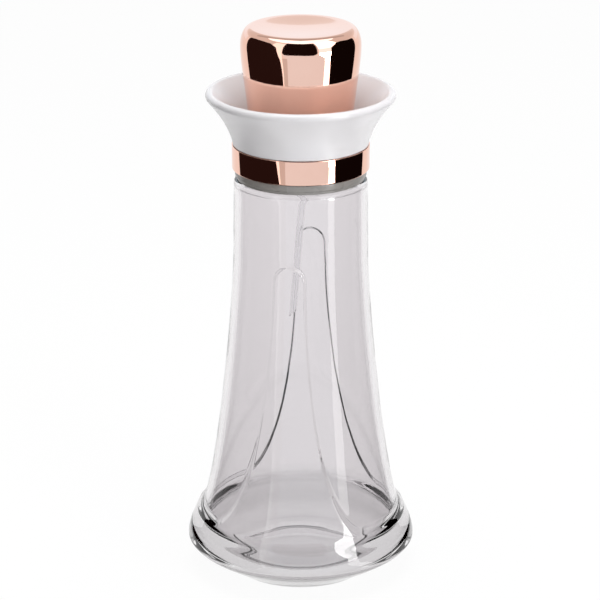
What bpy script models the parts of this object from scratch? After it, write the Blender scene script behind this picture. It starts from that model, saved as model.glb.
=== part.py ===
"""Oil cruet: a flared glass bottle with two raised tongues, a drip funnel with
a pour spout that screws on its neck, and a plug cap that lifts off the spout.

Metres, +Z up. The origin is the middle of the ring that the glass stands on.
The tongues of the glass face -Y and +Y, the recessed panels -X and +X.
"""
import math

import bpy
import numpy as np
from mathutils import Matrix, Vector

COLLECTION_NAME = "oil_cruet"
CUTTER_COLLECTION_NAME = "oil_cruet_cutters"
OUTSIDE_MARK = "outside"

# Gap that touching pieces keep
CLEARANCE = 0.0003

# Glass foot
CONTACT_INNER_RADIUS = 0.0262
CONTACT_OUTER_RADIUS = 0.0302
PUNT_DEPTH = 0.0015
FOOT_RADIUS = 0.0485
FOOT_WIDEST_HEIGHT = 0.0136
FOOT_TOP_PULL = 0.35
FOOT_SIDE_PULL = (0.0, 0.30)
HEEL_SIDE_PULL = (0.0, 0.25)
HEEL_CONTACT_PULL = (0.37, 0.36)
PUNT_EDGE_PULL = (0.2, 1.0)
PUNT_MIDDLE_PULL = (0.5, 0.0)

# Glass body, from the hem over the foot to the shoulder
HEM_HEIGHT = 0.0260
HEM_RADIUS = 0.04265
HEM_SLOPE = 0.42
FLARE_LENGTH = 0.1184
WAIST_RADIUS = 0.0282
COLUMN_LENGTH = 0.0284
COLUMN_TAPER = 0.00035
FLARE_HEM_PULL = 0.136
FLARE_WAIST_PULL = (0.0, 0.207)
SHOULDER_EDGE_RADIUS = 0.0017
WALL = 0.0024
FLOOR_THICKNESS = 0.0070
FLOOR_RADIUS = 0.0308
INNER_HEEL_RADIUS = 0.0095
INNER_SIDE_PULL = 0.35
INNER_SHOULDER_DROP = 0.0048
INNER_SHOULDER_WALL_PULL = (0.0, 0.65)
INNER_SHOULDER_BORE_PULL = (0.0, 0.35)

# Raised tongues and recessed panels
TONGUE_LENGTH = 0.1100
TONGUE_ARCH_RADIUS = 0.0057
LEG_STRAIGHT = 0.0480
LEG_SPREAD = math.radians(46.5)
LEG_CURL = math.radians(20.5)
PANEL_DEPTH_AT_HEM = 0.0018
PANEL_DEPTH_AT_TIP = 0.00090
STEP_WIDTH_AT_HEM = 0.0040
STEP_WIDTH_AT_TIP = 0.0014
STEP_WIDTH_FADE = 0.0120

# Neck finish of the glass
NECK_RADIUS = 0.0206
BORE_RADIUS = 0.0174
NECK_LENGTH = 0.0137
NECK_EDGE = 0.0008
NECK_FILLET = 0.0010
THREAD_HEIGHT = 0.0010

# Soft ring on the shoulder
RING_HEIGHT = 0.0041
RING_GROOVE_HEIGHT = 0.0015
RING_GROOVE_DEPTH = 0.0007
RING_INSET = 0.0005

# Seal on the mouth
SEAL_THICKNESS = 0.0012

# Pour spout insert
FLANGE_THICKNESS = 0.0015
TRAY_RADIUS = 0.0150
TRAY_DEPTH = 0.0038
TRAY_FLOOR = 0.0014
INSERT_SKIRT_LENGTH = 0.0065
INSERT_SKIRT_WALL = 0.0014
SPOUT_BORE_RADIUS = 0.0050
SPOUT_WALL = 0.0016
SPOUT_HEIGHT = 0.0262
SPOUT_LIP_FLARE = 0.0021
SPOUT_LIP_HEIGHT = 0.0034
SPOUT_LIP_EDGE = 0.0005
SPOUT_LIP_NECK_SHARE = (0.35, 0.40)
SPOUT_TAIL = 0.0030
DRAIN_RADIUS = 0.0013
DRAIN_COUNT = 3

# Vent tube and its socket under the tray
VENT_RADIUS = 0.0015
VENT_BORE_RADIUS = 0.0009
VENT_LENGTH = 0.0750
VENT_SOCKET_DEPTH = 0.0040
VENT_SOCKET_WALL = 0.0009
VENT_TIP_SLANT = math.radians(48.0)
VENT_AZIMUTH = math.radians(175.5)
VENT_TILT = math.radians(4.6)

# Screw closure, which carries the funnel
THREAD_SLEEVE_WALL = 0.0018
DECK_THICKNESS = 0.0020
CLOSURE_RIM_THICKNESS = 0.0014

# Funnel collar and its band
BAND_OVERHANG = 0.00075
BAND_THICKNESS = 0.0010
BAND_HEIGHT = 0.0105
BAND_EDGE = 0.0005
BAND_REVEAL = 0.0004
SKIRT_WALL = 0.0014
SLOT_ROOF = 0.0035
FUNNEL_HEIGHT = 0.0222
FUNNEL_LIP_RADIUS = 0.0393
FUNNEL_WALL = 0.0024
FUNNEL_LIP_THICKNESS = 0.0036
FUNNEL_LIP_INSIDE_DEGREES = 140
FUNNEL_LIP_OUTSIDE_DEGREES = -40
FUNNEL_OUTSIDE_LIP_PULL = (0.48, 0.30)
FUNNEL_OUTSIDE_FOOT_PULL = (0.13, 0.36)
FUNNEL_INSIDE_LIP_PULL = (0.46, 0.30)
FUNNEL_INSIDE_FOOT_PULL = (0.13, 0.33)

# Cap
CAP_HEIGHT = 0.0447
CAP_RIM_RADIUS = 0.0210
CAP_SHOULDER_RADIUS = 0.0249
CAP_SHOULDER_DROP = 0.0079
CAP_FACE_RADIUS = 0.0205
CAP_DISH = 0.0007
CAP_WALL = 0.0016
CAP_DISH_MIDDLE_PULL = (0.45, 0.0)
CAP_DISH_EDGE_PULL = (0.20, 0.0)
CAP_EDGE_FACE_PULL = (0.62, 0.0)
CAP_EDGE_SHOULDER_PULL = (0.0, 0.55)
CAP_SIDE_SHOULDER_PULL = (0.0, 0.20)
CAP_SIDE_RIM_PULL = (0.42, 0.50)
LINER_THICKNESS = 0.0018
LINER_INSET = 0.0022
PLUG_CLEARANCE = 0.0007
PLUG_ENGAGEMENT = 0.0110
PLUG_HOLLOW_RADIUS = 0.0019
PLUG_CHAMFER = 0.00055
SEAL_RING_RADIUS = 0.0008
SEAL_RING_DROP = 0.0055

# Facets
GLASS_QUARTER_COLUMNS = 12
GLASS_EDGE_COLUMN = 4
RING_CROWDING = 1.25
LARGE_STEPS = 44
SMALL_STEPS = 28
TUBE_STEPS = 12

# Heights that follow, from the table up
FLARE_TOP = HEM_HEIGHT + FLARE_LENGTH
SHOULDER_HEIGHT = FLARE_TOP + COLUMN_LENGTH
SHOULDER_RADIUS = WAIST_RADIUS - COLUMN_TAPER
MOUTH_HEIGHT = SHOULDER_HEIGHT + NECK_LENGTH
ARCH_CENTRE_HEIGHT = HEM_HEIGHT + TONGUE_LENGTH
RING_BOTTOM = SHOULDER_HEIGHT + CLEARANCE
COLLAR_BOTTOM = RING_BOTTOM + RING_HEIGHT + CLEARANCE
SEAL_BOTTOM = MOUTH_HEIGHT + CLEARANCE
FLANGE_BOTTOM = SEAL_BOTTOM + SEAL_THICKNESS + CLEARANCE
FLANGE_TOP = FLANGE_BOTTOM + FLANGE_THICKNESS
DECK_BOTTOM = FLANGE_TOP + CLEARANCE
DECK_TOP = DECK_BOTTOM + DECK_THICKNESS
BAND_TOP = COLLAR_BOTTOM + BAND_HEIGHT
FUNNEL_TOP = BAND_TOP + FUNNEL_HEIGHT
TRAY_TOP = FLANGE_TOP - TRAY_DEPTH
TRAY_BOTTOM = TRAY_TOP - TRAY_FLOOR
SPOUT_TOP = FLANGE_TOP + SPOUT_HEIGHT
CAP_BOTTOM = DECK_TOP + CLEARANCE
CAP_TOP = CAP_BOTTOM + CAP_HEIGHT
PLUG_BOTTOM = SPOUT_TOP - PLUG_ENGAGEMENT

# Radii that follow, from the neck out
SLEEVE_BORE_RADIUS = NECK_RADIUS + THREAD_HEIGHT + CLEARANCE
SLEEVE_RADIUS = SLEEVE_BORE_RADIUS + THREAD_SLEEVE_WALL
FLANGE_RADIUS = NECK_RADIUS
BAND_RADIUS = SHOULDER_RADIUS + BAND_OVERHANG
BAND_BORE_RADIUS = BAND_RADIUS - BAND_THICKNESS
SKIRT_RADIUS = BAND_BORE_RADIUS - CLEARANCE
FUNNEL_FOOT_RADIUS = BAND_RADIUS - BAND_REVEAL
FUNNEL_FLOOR_RADIUS = FUNNEL_FOOT_RADIUS - FUNNEL_WALL
FUNNEL_BORE_RADIUS = SLEEVE_RADIUS + CLEARANCE
CLOSURE_RIM_RADIUS = FUNNEL_FLOOR_RADIUS - CLEARANCE
SPOUT_RADIUS = SPOUT_BORE_RADIUS + SPOUT_WALL
DECK_HOLE_RADIUS = TRAY_RADIUS + CLEARANCE
PLUG_RADIUS = SPOUT_BORE_RADIUS - PLUG_CLEARANCE
SEAL_RING_CENTRE_RADIUS = SPOUT_BORE_RADIUS - CLEARANCE - SEAL_RING_RADIUS
PLUG_GROOVE_RADIUS = SEAL_RING_CENTRE_RADIUS - SEAL_RING_RADIUS - CLEARANCE
SEAL_RING_HEIGHT = SPOUT_TOP - SEAL_RING_DROP
VENT_RING_RADIUS = (SPOUT_RADIUS + TRAY_RADIUS) / 2


def bezier(start, first, second, end, count):
    """Points along a cubic curve of (radius, height), both ends included."""
    points = []
    for step in range(count + 1):
        t = step / count
        weights = ((1 - t) ** 3, 3 * (1 - t) ** 2 * t, 3 * (1 - t) * t ** 2, t ** 3)
        points.append(tuple(
            sum(w * p[axis] for w, p in zip(weights, (start, first, second, end)))
            for axis in (0, 1)))
    return points


def sweep(start, end, start_pull, end_pull, count):
    """Points along a cubic curve whose handles are given as pulls.

    A pull is how far a handle lies from its own end, as shares of the curve's
    width and of its rise.
    """
    width = end[0] - start[0]
    rise = end[1] - start[1]
    first = (start[0] + width * start_pull[0], start[1] + rise * start_pull[1])
    second = (end[0] - width * end_pull[0], end[1] - rise * end_pull[1])
    return bezier(start, first, second, end, count)


def arc(centre, radius, start_degrees, end_degrees, count):
    """Points on a circle in the (radius, height) plane, both ends included."""
    points = []
    for step in range(count + 1):
        angle = math.radians(start_degrees + (end_degrees - start_degrees) * step / count)
        points.append((centre[0] + radius * math.cos(angle),
                       centre[1] + radius * math.sin(angle)))
    return points


def new_collection(name):
    collection = bpy.data.collections.new(name)
    bpy.context.scene.collection.children.link(collection)
    return collection


def principled(name, colour, roughness, metallic=0.0, transmission=0.0):
    material = bpy.data.materials.new(name)
    material.use_nodes = True
    shader = material.node_tree.nodes["Principled BSDF"]
    shader.inputs["Base Color"].default_value = (*colour, 1.0)
    shader.inputs["Roughness"].default_value = roughness
    shader.inputs["Metallic"].default_value = metallic
    shader.inputs["Transmission Weight"].default_value = transmission
    material.diffuse_color = (*colour, 1.0)
    return material


def profile_object(name, profile, collection, closed, outside=0):
    """A wire of (radius, height) points in the XZ plane.

    The first points, as many as outside says, are marked in an attribute.
    """
    mesh = bpy.data.meshes.new(name)
    vertices = [(radius, 0.0, height) for radius, height in profile]
    edges = [(i, i + 1) for i in range(len(vertices) - 1)]
    if closed:
        edges.append((len(vertices) - 1, 0))
    mesh.from_pydata(vertices, edges, [])
    marks = mesh.attributes.new(OUTSIDE_MARK, "FLOAT", "POINT")
    marks.data.foreach_set("value", [float(i < outside) for i in range(len(vertices))])
    thing = bpy.data.objects.new(name, mesh)
    collection.objects.link(thing)
    return thing


def add_screw(thing, steps):
    screw = thing.modifiers.new("turn", "SCREW")
    screw.steps = steps
    screw.render_steps = steps
    screw.use_merge_vertices = True
    screw.merge_threshold = 0.00001
    screw.use_smooth_shade = True


def evaluated_mesh(thing):
    """A mesh of what the object's modifiers make."""
    graph = bpy.context.evaluated_depsgraph_get()
    graph.update()
    return bpy.data.meshes.new_from_object(thing.evaluated_get(graph))


def bake(thing):
    """Replace the object's mesh by the mesh its modifiers make."""
    mesh = evaluated_mesh(thing)
    thing.modifiers.clear()
    thing.data = mesh
    mesh.name = thing.name


def finish_surface(thing, material, sharp_degrees=35):
    mesh = thing.data
    mesh.materials.clear()
    mesh.materials.append(material)
    mesh.shade_smooth()
    mesh.set_sharp_from_angle(angle=math.radians(sharp_degrees))


def turned(name, profile, steps, material, collection, closed=True):
    """A solid of revolution. The profile runs down its outer side."""
    thing = profile_object(name, profile, collection, closed)
    add_screw(thing, steps)
    bake(thing)
    finish_surface(thing, material)
    return thing


def panel_radius(height):
    """Radius of the recessed panels and of the column over them."""
    hem_pull = (HEM_SLOPE * FLARE_LENGTH * FLARE_HEM_PULL / (HEM_RADIUS - WAIST_RADIUS),
                FLARE_HEM_PULL)
    curve = sweep((HEM_RADIUS, HEM_HEIGHT), (WAIST_RADIUS, FLARE_TOP),
                  hem_pull, FLARE_WAIST_PULL, 48)
    radii = [radius for radius, _ in curve] + [SHOULDER_RADIUS]
    heights = [z for _, z in curve] + [SHOULDER_HEIGHT]
    return float(np.interp(height, heights, radii))


def panel_depth(height):
    """How far the panels lie under the tongues, at a height."""
    share = min(max((height - HEM_HEIGHT) / TONGUE_LENGTH, 0.0), 1.0)
    return PANEL_DEPTH_AT_HEM + (PANEL_DEPTH_AT_TIP - PANEL_DEPTH_AT_HEM) * share


def step_width(height):
    fade = math.exp(-max(height - HEM_HEIGHT, 0.0) / STEP_WIDTH_FADE)
    return STEP_WIDTH_AT_TIP + (STEP_WIDTH_AT_HEM - STEP_WIDTH_AT_TIP) * fade


def tongue_outline():
    """(azimuth, height) points of a quarter: half an arch, one leg and the hem."""
    arch_azimuth = TONGUE_ARCH_RADIUS / panel_radius(ARCH_CENTRE_HEIGHT)
    arch = [(arch_azimuth * math.sin(math.radians(turn)),
             ARCH_CENTRE_HEIGHT + TONGUE_ARCH_RADIUS * math.cos(math.radians(turn)))
            for turn in range(0, 90, 10)]
    leg = bezier((arch_azimuth, ARCH_CENTRE_HEIGHT),
                 (arch_azimuth, ARCH_CENTRE_HEIGHT - LEG_STRAIGHT),
                 (LEG_SPREAD - LEG_CURL, HEM_HEIGHT),
                 (LEG_SPREAD, HEM_HEIGHT), 40)
    hem = [(math.pi / 2 + LEG_CURL, HEM_HEIGHT)]
    return np.array(arch + leg + hem)


def fold_azimuth(azimuth):
    """Azimuth from the nearer tongue's middle, from 0 to a quarter turn."""
    azimuth = abs(math.remainder(azimuth, 2 * math.pi))
    return min(azimuth, math.pi - azimuth)


def recess(azimuth, height, radius, outline):
    """0 on the tongues and the foot, 1 on the panels, between them on the step."""
    leg_azimuth = np.interp(height, outline[-2::-1, 1], outline[-2::-1, 0])
    tip = outline[0, 1]
    if height <= HEM_HEIGHT + 1e-6 or (height < tip and azimuth < leg_azimuth):
        return 0.0
    scale = np.array((radius, 1.0))
    starts = (outline[:-1] - (azimuth, height)) * scale
    along = (outline[1:] - (azimuth, height)) * scale - starts
    share = -(starts * along).sum(axis=1) / (along ** 2).sum(axis=1)
    nearest = starts + along * np.clip(share, 0.0, 1.0)[:, None]
    distance = float(np.hypot(nearest[:, 0], nearest[:, 1]).min())
    t = min(distance / step_width(height), 1.0)
    return t * t * (3 - 2 * t)


def body_ring_heights():
    """Heights of the rings of vertices over the hem, close where the form turns."""
    step = np.linspace(HEM_HEIGHT, HEM_HEIGHT + STEP_WIDTH_AT_HEM, 5)
    leg_share = np.linspace(0.0, 1.0, 9)[1:] ** RING_CROWDING
    leg_top = ARCH_CENTRE_HEIGHT - TONGUE_ARCH_RADIUS
    leg = step[-1] + (leg_top - step[-1]) * leg_share
    arch_top = ARCH_CENTRE_HEIGHT + TONGUE_ARCH_RADIUS + STEP_WIDTH_AT_TIP
    arch = np.linspace(leg_top, arch_top, 8)[1:]
    column = np.linspace(arch_top, SHOULDER_HEIGHT - SHOULDER_EDGE_RADIUS, 3)[1:]
    return [float(z) for z in (*step, *leg, *arch, *column)]


def neck_profile():
    """(radius, height) down the outside of the neck to the edge of the shoulder."""
    neck = [(NECK_RADIUS - NECK_EDGE, MOUTH_HEIGHT), (NECK_RADIUS, MOUTH_HEIGHT - NECK_EDGE)]
    neck += [(NECK_RADIUS, SHOULDER_HEIGHT + NECK_FILLET),
             (NECK_RADIUS + NECK_FILLET, SHOULDER_HEIGHT)]
    edge_centre = (SHOULDER_RADIUS - SHOULDER_EDGE_RADIUS, SHOULDER_HEIGHT - SHOULDER_EDGE_RADIUS)
    return neck + arc(edge_centre, SHOULDER_EDGE_RADIUS, 90, 0, 3)[:-1]


def body_profile():
    """(radius, height) down the tongues and the foot to its widest ring."""
    body = [(panel_radius(height) + panel_depth(height), height)
            for height in reversed(body_ring_heights())]
    top_radius, top_height = body[-1]
    foot_rise = HEM_HEIGHT - FOOT_WIDEST_HEIGHT
    top_pull = (HEM_SLOPE * foot_rise * FOOT_TOP_PULL / (FOOT_RADIUS - top_radius), FOOT_TOP_PULL)
    foot = sweep((top_radius, top_height), (FOOT_RADIUS, FOOT_WIDEST_HEIGHT),
                 top_pull, FOOT_SIDE_PULL, 5)[1:]
    return body + foot


def base_profile():
    """(radius, height) from the widest ring down the heel and under to the axis."""
    heel = sweep((FOOT_RADIUS, FOOT_WIDEST_HEIGHT), (CONTACT_OUTER_RADIUS, 0.0),
                 HEEL_SIDE_PULL, HEEL_CONTACT_PULL, 4)[1:]
    punt = sweep((CONTACT_INNER_RADIUS, 0.0), (0.0, PUNT_DEPTH),
                 PUNT_EDGE_PULL, PUNT_MIDDLE_PULL, 3)
    return heel + punt


def cavity_profile():
    """(radius, height) from the middle of the floor up the inside to the mouth."""
    heel_centre = (FLOOR_RADIUS, FLOOR_THICKNESS + INNER_HEEL_RADIUS)
    heel = arc(heel_centre, INNER_HEEL_RADIUS, -90, 0, 4)
    heel_radius, heel_height = heel[-1]
    wall_radius = HEM_RADIUS - WALL
    pull = (HEM_HEIGHT - heel_height) * INNER_SIDE_PULL
    side = bezier(heel[-1], (heel_radius, heel_height + pull),
                  (wall_radius + HEM_SLOPE * pull, HEM_HEIGHT - pull),
                  (wall_radius, HEM_HEIGHT), 4)[1:]
    wall_top = SHOULDER_HEIGHT - INNER_SHOULDER_DROP
    wall_share = np.linspace(0.0, 1.0, 8)[1:] ** RING_CROWDING
    wall = [(panel_radius(height) - WALL, height)
            for height in (HEM_HEIGHT + (wall_top - HEM_HEIGHT) * wall_share)]
    shoulder = sweep(wall[-1], (BORE_RADIUS, SHOULDER_HEIGHT),
                     INNER_SHOULDER_WALL_PULL, INNER_SHOULDER_BORE_PULL, 4)[1:]
    rim = [(BORE_RADIUS, MOUTH_HEIGHT - NECK_EDGE), (BORE_RADIUS + NECK_EDGE, MOUTH_HEIGHT)]
    return [(0.0, FLOOR_THICKNESS), *heel, *side, *wall, *shoulder, *rim]


def column_azimuths(height, outline):
    """Azimuths of a quarter's columns: one on the tongue's edge, one past its step."""
    even = math.pi / 2 / GLASS_QUARTER_COLUMNS
    heights = [FOOT_WIDEST_HEIGHT, *outline[-2:8:-1, 1], SHOULDER_HEIGHT]
    edge = np.interp(height, heights,
                     [even * GLASS_EDGE_COLUMN, *outline[-2:8:-1, 0], even * GLASS_EDGE_COLUMN])
    step = step_width(height) / panel_radius(height)
    tip = ARCH_CENTRE_HEIGHT + TONGUE_ARCH_RADIUS
    landing = edge + np.interp(height, [HEM_HEIGHT, tip, SHOULDER_HEIGHT], [step, step, even])
    rest = GLASS_QUARTER_COLUMNS - GLASS_EDGE_COLUMN - 1
    return [*np.linspace(0.0, edge, GLASS_EDGE_COLUMN + 1),
            *np.linspace(landing, math.pi / 2, rest + 1)]


def shape_relief(mesh):
    """Crowd the columns round the tongues' edges and press the panels in."""
    outline = tongue_outline()
    even = math.pi / 2 / GLASS_QUARTER_COLUMNS
    marks = mesh.attributes[OUTSIDE_MARK].data
    for vertex, mark in zip(mesh.vertices, marks):
        if mark.value < 0.5:
            continue
        x, y, height = vertex.co
        radius = math.hypot(x, y)
        azimuth = math.atan2(x, -y)
        quarter, column = divmod(round(azimuth / even), GLASS_QUARTER_COLUMNS)
        columns = column_azimuths(height, outline)
        if quarter % 2 == 0:
            azimuth = quarter * math.pi / 2 + columns[column]
        else:
            azimuth = (quarter + 1) * math.pi / 2 - columns[GLASS_QUARTER_COLUMNS - column]
        share = recess(fold_azimuth(azimuth), height, radius, outline)
        radius -= share * panel_depth(height)
        vertex.co = (radius * math.sin(azimuth), -radius * math.cos(azimuth), height)


def glass_bottle(collection, material):
    body = body_profile()
    profile = body + base_profile() + cavity_profile() + neck_profile()
    bottle = profile_object("glass_bottle", profile, collection, True, outside=len(body))
    add_screw(bottle, 4 * GLASS_QUARTER_COLUMNS)
    bake(bottle)
    shape_relief(bottle.data)
    finish_surface(bottle, material, 50)
    return bottle


def shoulder_ring(collection, material):
    outer = SHOULDER_RADIUS - RING_INSET
    grooved = outer - RING_GROOVE_DEPTH
    inner = NECK_RADIUS + NECK_FILLET + CLEARANCE
    top = RING_BOTTOM + RING_HEIGHT
    bevel = RING_GROOVE_DEPTH / 2
    profile = [(outer - bevel, top), (outer, top - bevel),
               (outer, RING_BOTTOM + RING_GROOVE_HEIGHT),
               (grooved, RING_BOTTOM + RING_GROOVE_HEIGHT - bevel),
               (grooved, RING_BOTTOM), (inner, RING_BOTTOM), (inner, top)]
    return turned("shoulder_ring", profile, LARGE_STEPS, material, collection)


def mouth_seal(collection, material):
    top = SEAL_BOTTOM + SEAL_THICKNESS
    inner = BORE_RADIUS + NECK_EDGE / 2
    outer = NECK_RADIUS - NECK_EDGE / 2
    profile = [(outer, top), (outer, SEAL_BOTTOM), (inner, SEAL_BOTTOM), (inner, top)]
    return turned("mouth_seal", profile, SMALL_STEPS, material, collection)


def screw_closure(collection, material):
    """The threaded inner cap. Its rim lies on the funnel's shoulder as the floor."""
    rim_bottom = DECK_TOP - CLOSURE_RIM_THICKNESS
    profile = [(CLOSURE_RIM_RADIUS, DECK_TOP), (CLOSURE_RIM_RADIUS, rim_bottom),
               (SLEEVE_RADIUS, rim_bottom), (SLEEVE_RADIUS, COLLAR_BOTTOM),
               (SLEEVE_BORE_RADIUS, COLLAR_BOTTOM), (SLEEVE_BORE_RADIUS, DECK_BOTTOM),
               (DECK_HOLE_RADIUS, DECK_BOTTOM), (DECK_HOLE_RADIUS, DECK_TOP)]
    return turned("screw_closure", profile, LARGE_STEPS, material, collection)


def funnel_collar(collection, material):
    lip = FUNNEL_LIP_THICKNESS / 2
    lip_centre = (FUNNEL_LIP_RADIUS - lip, FUNNEL_TOP - lip)
    rim = arc(lip_centre, lip, FUNNEL_LIP_INSIDE_DEGREES, FUNNEL_LIP_OUTSIDE_DEGREES, 5)
    outside = sweep(rim[-1], (FUNNEL_FOOT_RADIUS, BAND_TOP),
                    FUNNEL_OUTSIDE_LIP_PULL, FUNNEL_OUTSIDE_FOOT_PULL, 6)[1:]
    slot_outer = SKIRT_RADIUS - SKIRT_WALL
    slot_top = BAND_TOP - SLOT_ROOF
    shoulder = DECK_TOP - CLOSURE_RIM_THICKNESS - CLEARANCE
    skirt = [(SKIRT_RADIUS, BAND_TOP), (SKIRT_RADIUS, COLLAR_BOTTOM),
             (slot_outer, COLLAR_BOTTOM), (slot_outer, slot_top),
             (FUNNEL_BORE_RADIUS, slot_top), (FUNNEL_BORE_RADIUS, shoulder),
             (FUNNEL_FLOOR_RADIUS, shoulder)]
    inside = sweep((FUNNEL_FLOOR_RADIUS, DECK_TOP), rim[0],
                   FUNNEL_INSIDE_FOOT_PULL, FUNNEL_INSIDE_LIP_PULL, 6)[:-1]
    return turned("funnel_collar", rim + outside + skirt + inside, LARGE_STEPS, material,
                  collection)


def neck_band(collection, material):
    corner = (BAND_RADIUS - BAND_EDGE, COLLAR_BOTTOM + BAND_EDGE)
    profile = [(BAND_RADIUS - BAND_REVEAL / 2, BAND_TOP - CLEARANCE),
               (BAND_RADIUS, BAND_TOP - CLEARANCE - BAND_REVEAL / 2),
               *arc(corner, BAND_EDGE, 0, -90, 3),
               (BAND_BORE_RADIUS, COLLAR_BOTTOM), (BAND_BORE_RADIUS, BAND_TOP - CLEARANCE)]
    return turned("neck_band", profile, LARGE_STEPS, material, collection)


def vent_frame():
    """Placement at the mouth of the vent socket: local -Z runs down the tube."""
    place = Vector((VENT_RING_RADIUS * math.sin(VENT_AZIMUTH),
                    -VENT_RING_RADIUS * math.cos(VENT_AZIMUTH), TRAY_BOTTOM))
    lean = Matrix.Rotation(VENT_TILT, 4, "Y")
    return Matrix.Translation(place) @ lean


def cylinder(name, radius, top, bottom, frame, collection, steps=TUBE_STEPS):
    """A capped cylinder along the frame's Z, as a turned half section."""
    profile = [(0.0, top), (radius, top), (radius, bottom), (0.0, bottom)]
    thing = profile_object(name, profile, collection, False)
    add_screw(thing, steps)
    bake(thing)
    thing.matrix_world = frame
    return thing


def hide_cutter(thing):
    thing.hide_render = True
    thing.display_type = "WIRE"


def combine(thing, other, operation):
    modifier = thing.modifiers.new(other.name, "BOOLEAN")
    modifier.object = other
    modifier.operation = operation
    modifier.solver = "EXACT"


def pour_spout(collection, cutters, material):
    lip_base = SPOUT_TOP - SPOUT_LIP_HEIGHT
    skirt_outer = BORE_RADIUS - CLEARANCE
    skirt_inner = skirt_outer - INSERT_SKIRT_WALL
    skirt_bottom = FLANGE_BOTTOM - INSERT_SKIRT_LENGTH
    tray_corner = TRAY_FLOOR / 2
    neck_flare = SPOUT_LIP_FLARE * SPOUT_LIP_NECK_SHARE[0]
    neck_rise = SPOUT_LIP_HEIGHT * SPOUT_LIP_NECK_SHARE[1]
    profile = [(SPOUT_BORE_RADIUS + SPOUT_LIP_FLARE, SPOUT_TOP),
               (SPOUT_RADIUS + SPOUT_LIP_FLARE, SPOUT_TOP - SPOUT_LIP_EDGE),
               (SPOUT_RADIUS + neck_flare, lip_base + neck_rise),
               (SPOUT_RADIUS, lip_base),
               (SPOUT_RADIUS, TRAY_TOP + tray_corner),
               (SPOUT_RADIUS + tray_corner, TRAY_TOP),
               (TRAY_RADIUS - INSERT_SKIRT_WALL - tray_corner, TRAY_TOP),
               (TRAY_RADIUS - INSERT_SKIRT_WALL, TRAY_TOP + tray_corner),
               (TRAY_RADIUS - INSERT_SKIRT_WALL, FLANGE_TOP),
               (FLANGE_RADIUS, FLANGE_TOP), (FLANGE_RADIUS, FLANGE_BOTTOM),
               (skirt_outer, FLANGE_BOTTOM), (skirt_outer, skirt_bottom),
               (skirt_inner, skirt_bottom), (skirt_inner, TRAY_BOTTOM),
               (SPOUT_RADIUS, TRAY_BOTTOM), (SPOUT_RADIUS, TRAY_BOTTOM - SPOUT_TAIL),
               (SPOUT_BORE_RADIUS, TRAY_BOTTOM - SPOUT_TAIL),
               (SPOUT_BORE_RADIUS, lip_base)]
    spout = profile_object("pour_spout", profile, collection, True)
    add_screw(spout, SMALL_STEPS)
    frame = vent_frame()
    socket_bore = VENT_RADIUS + CLEARANCE
    boss = cylinder("vent_socket", socket_bore + VENT_SOCKET_WALL, TRAY_FLOOR / 2,
                    -VENT_SOCKET_DEPTH, frame, cutters)
    bore = cylinder("vent_socket_bore", socket_bore, -TRAY_FLOOR / 4,
                    -VENT_SOCKET_DEPTH - TRAY_FLOOR, frame, cutters)
    passage = cylinder("vent_passage", VENT_BORE_RADIUS, TRAY_FLOOR * 2,
                       -TRAY_FLOOR, frame, cutters)
    combine(spout, boss, "UNION")
    combine(spout, bore, "DIFFERENCE")
    combine(spout, passage, "DIFFERENCE")
    for index in range(1, DRAIN_COUNT + 1):
        azimuth = VENT_AZIMUTH + 2 * math.pi * index / (DRAIN_COUNT + 1)
        place = Vector((VENT_RING_RADIUS * math.sin(azimuth),
                        -VENT_RING_RADIUS * math.cos(azimuth), TRAY_BOTTOM))
        drain = cylinder("drain_%d" % index, DRAIN_RADIUS, TRAY_FLOOR * 2, -TRAY_FLOOR,
                         Matrix.Translation(place), cutters)
        hide_cutter(drain)
        combine(spout, drain, "DIFFERENCE")
    for cutter in (boss, bore, passage):
        hide_cutter(cutter)
    bake(spout)
    finish_surface(spout, material)
    return spout


def vent_tube(collection, material):
    """The tube that lets air in, with its lower end cut at a slant."""
    top = -TRAY_FLOOR / 4 - CLEARANCE
    profile = [(VENT_RADIUS, top), (VENT_RADIUS, top - VENT_LENGTH),
               (VENT_BORE_RADIUS, top - VENT_LENGTH), (VENT_BORE_RADIUS, top)]
    tube = turned("vent_tube", profile, TUBE_STEPS, material, collection)
    for vertex in tube.data.vertices:
        if vertex.co.z < top - VENT_LENGTH / 2:
            vertex.co.z += vertex.co.x * math.tan(VENT_TIP_SLANT)
    tube.matrix_world = vent_frame()
    return tube


def cap_outline(inset, edge_count, side_count):
    """The cap's outside from its face to its rim, drawn in by an inset."""
    rim = CAP_RIM_RADIUS - inset
    shoulder = CAP_SHOULDER_RADIUS - inset
    face = CAP_FACE_RADIUS - inset
    shoulder_height = CAP_TOP - CAP_SHOULDER_DROP
    top = CAP_TOP - inset
    edge = sweep((face, top), (shoulder, shoulder_height),
                 CAP_EDGE_FACE_PULL, CAP_EDGE_SHOULDER_PULL, edge_count)
    side = sweep((shoulder, shoulder_height), (rim, CAP_BOTTOM),
                 CAP_SIDE_SHOULDER_PULL, CAP_SIDE_RIM_PULL, side_count)[1:]
    return edge + side


def cap_shell(collection, material):
    face = sweep((0.0, CAP_TOP - CAP_DISH), (CAP_FACE_RADIUS, CAP_TOP),
                 CAP_DISH_MIDDLE_PULL, CAP_DISH_EDGE_PULL, 2)[:-1]
    outside = face + cap_outline(0.0, 5, 7)
    inside = cap_outline(CAP_WALL, 3, 4)[::-1] + [(0.0, CAP_TOP - CAP_WALL)]
    return turned("cap_shell", outside + inside, LARGE_STEPS, material, collection, False)


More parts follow.
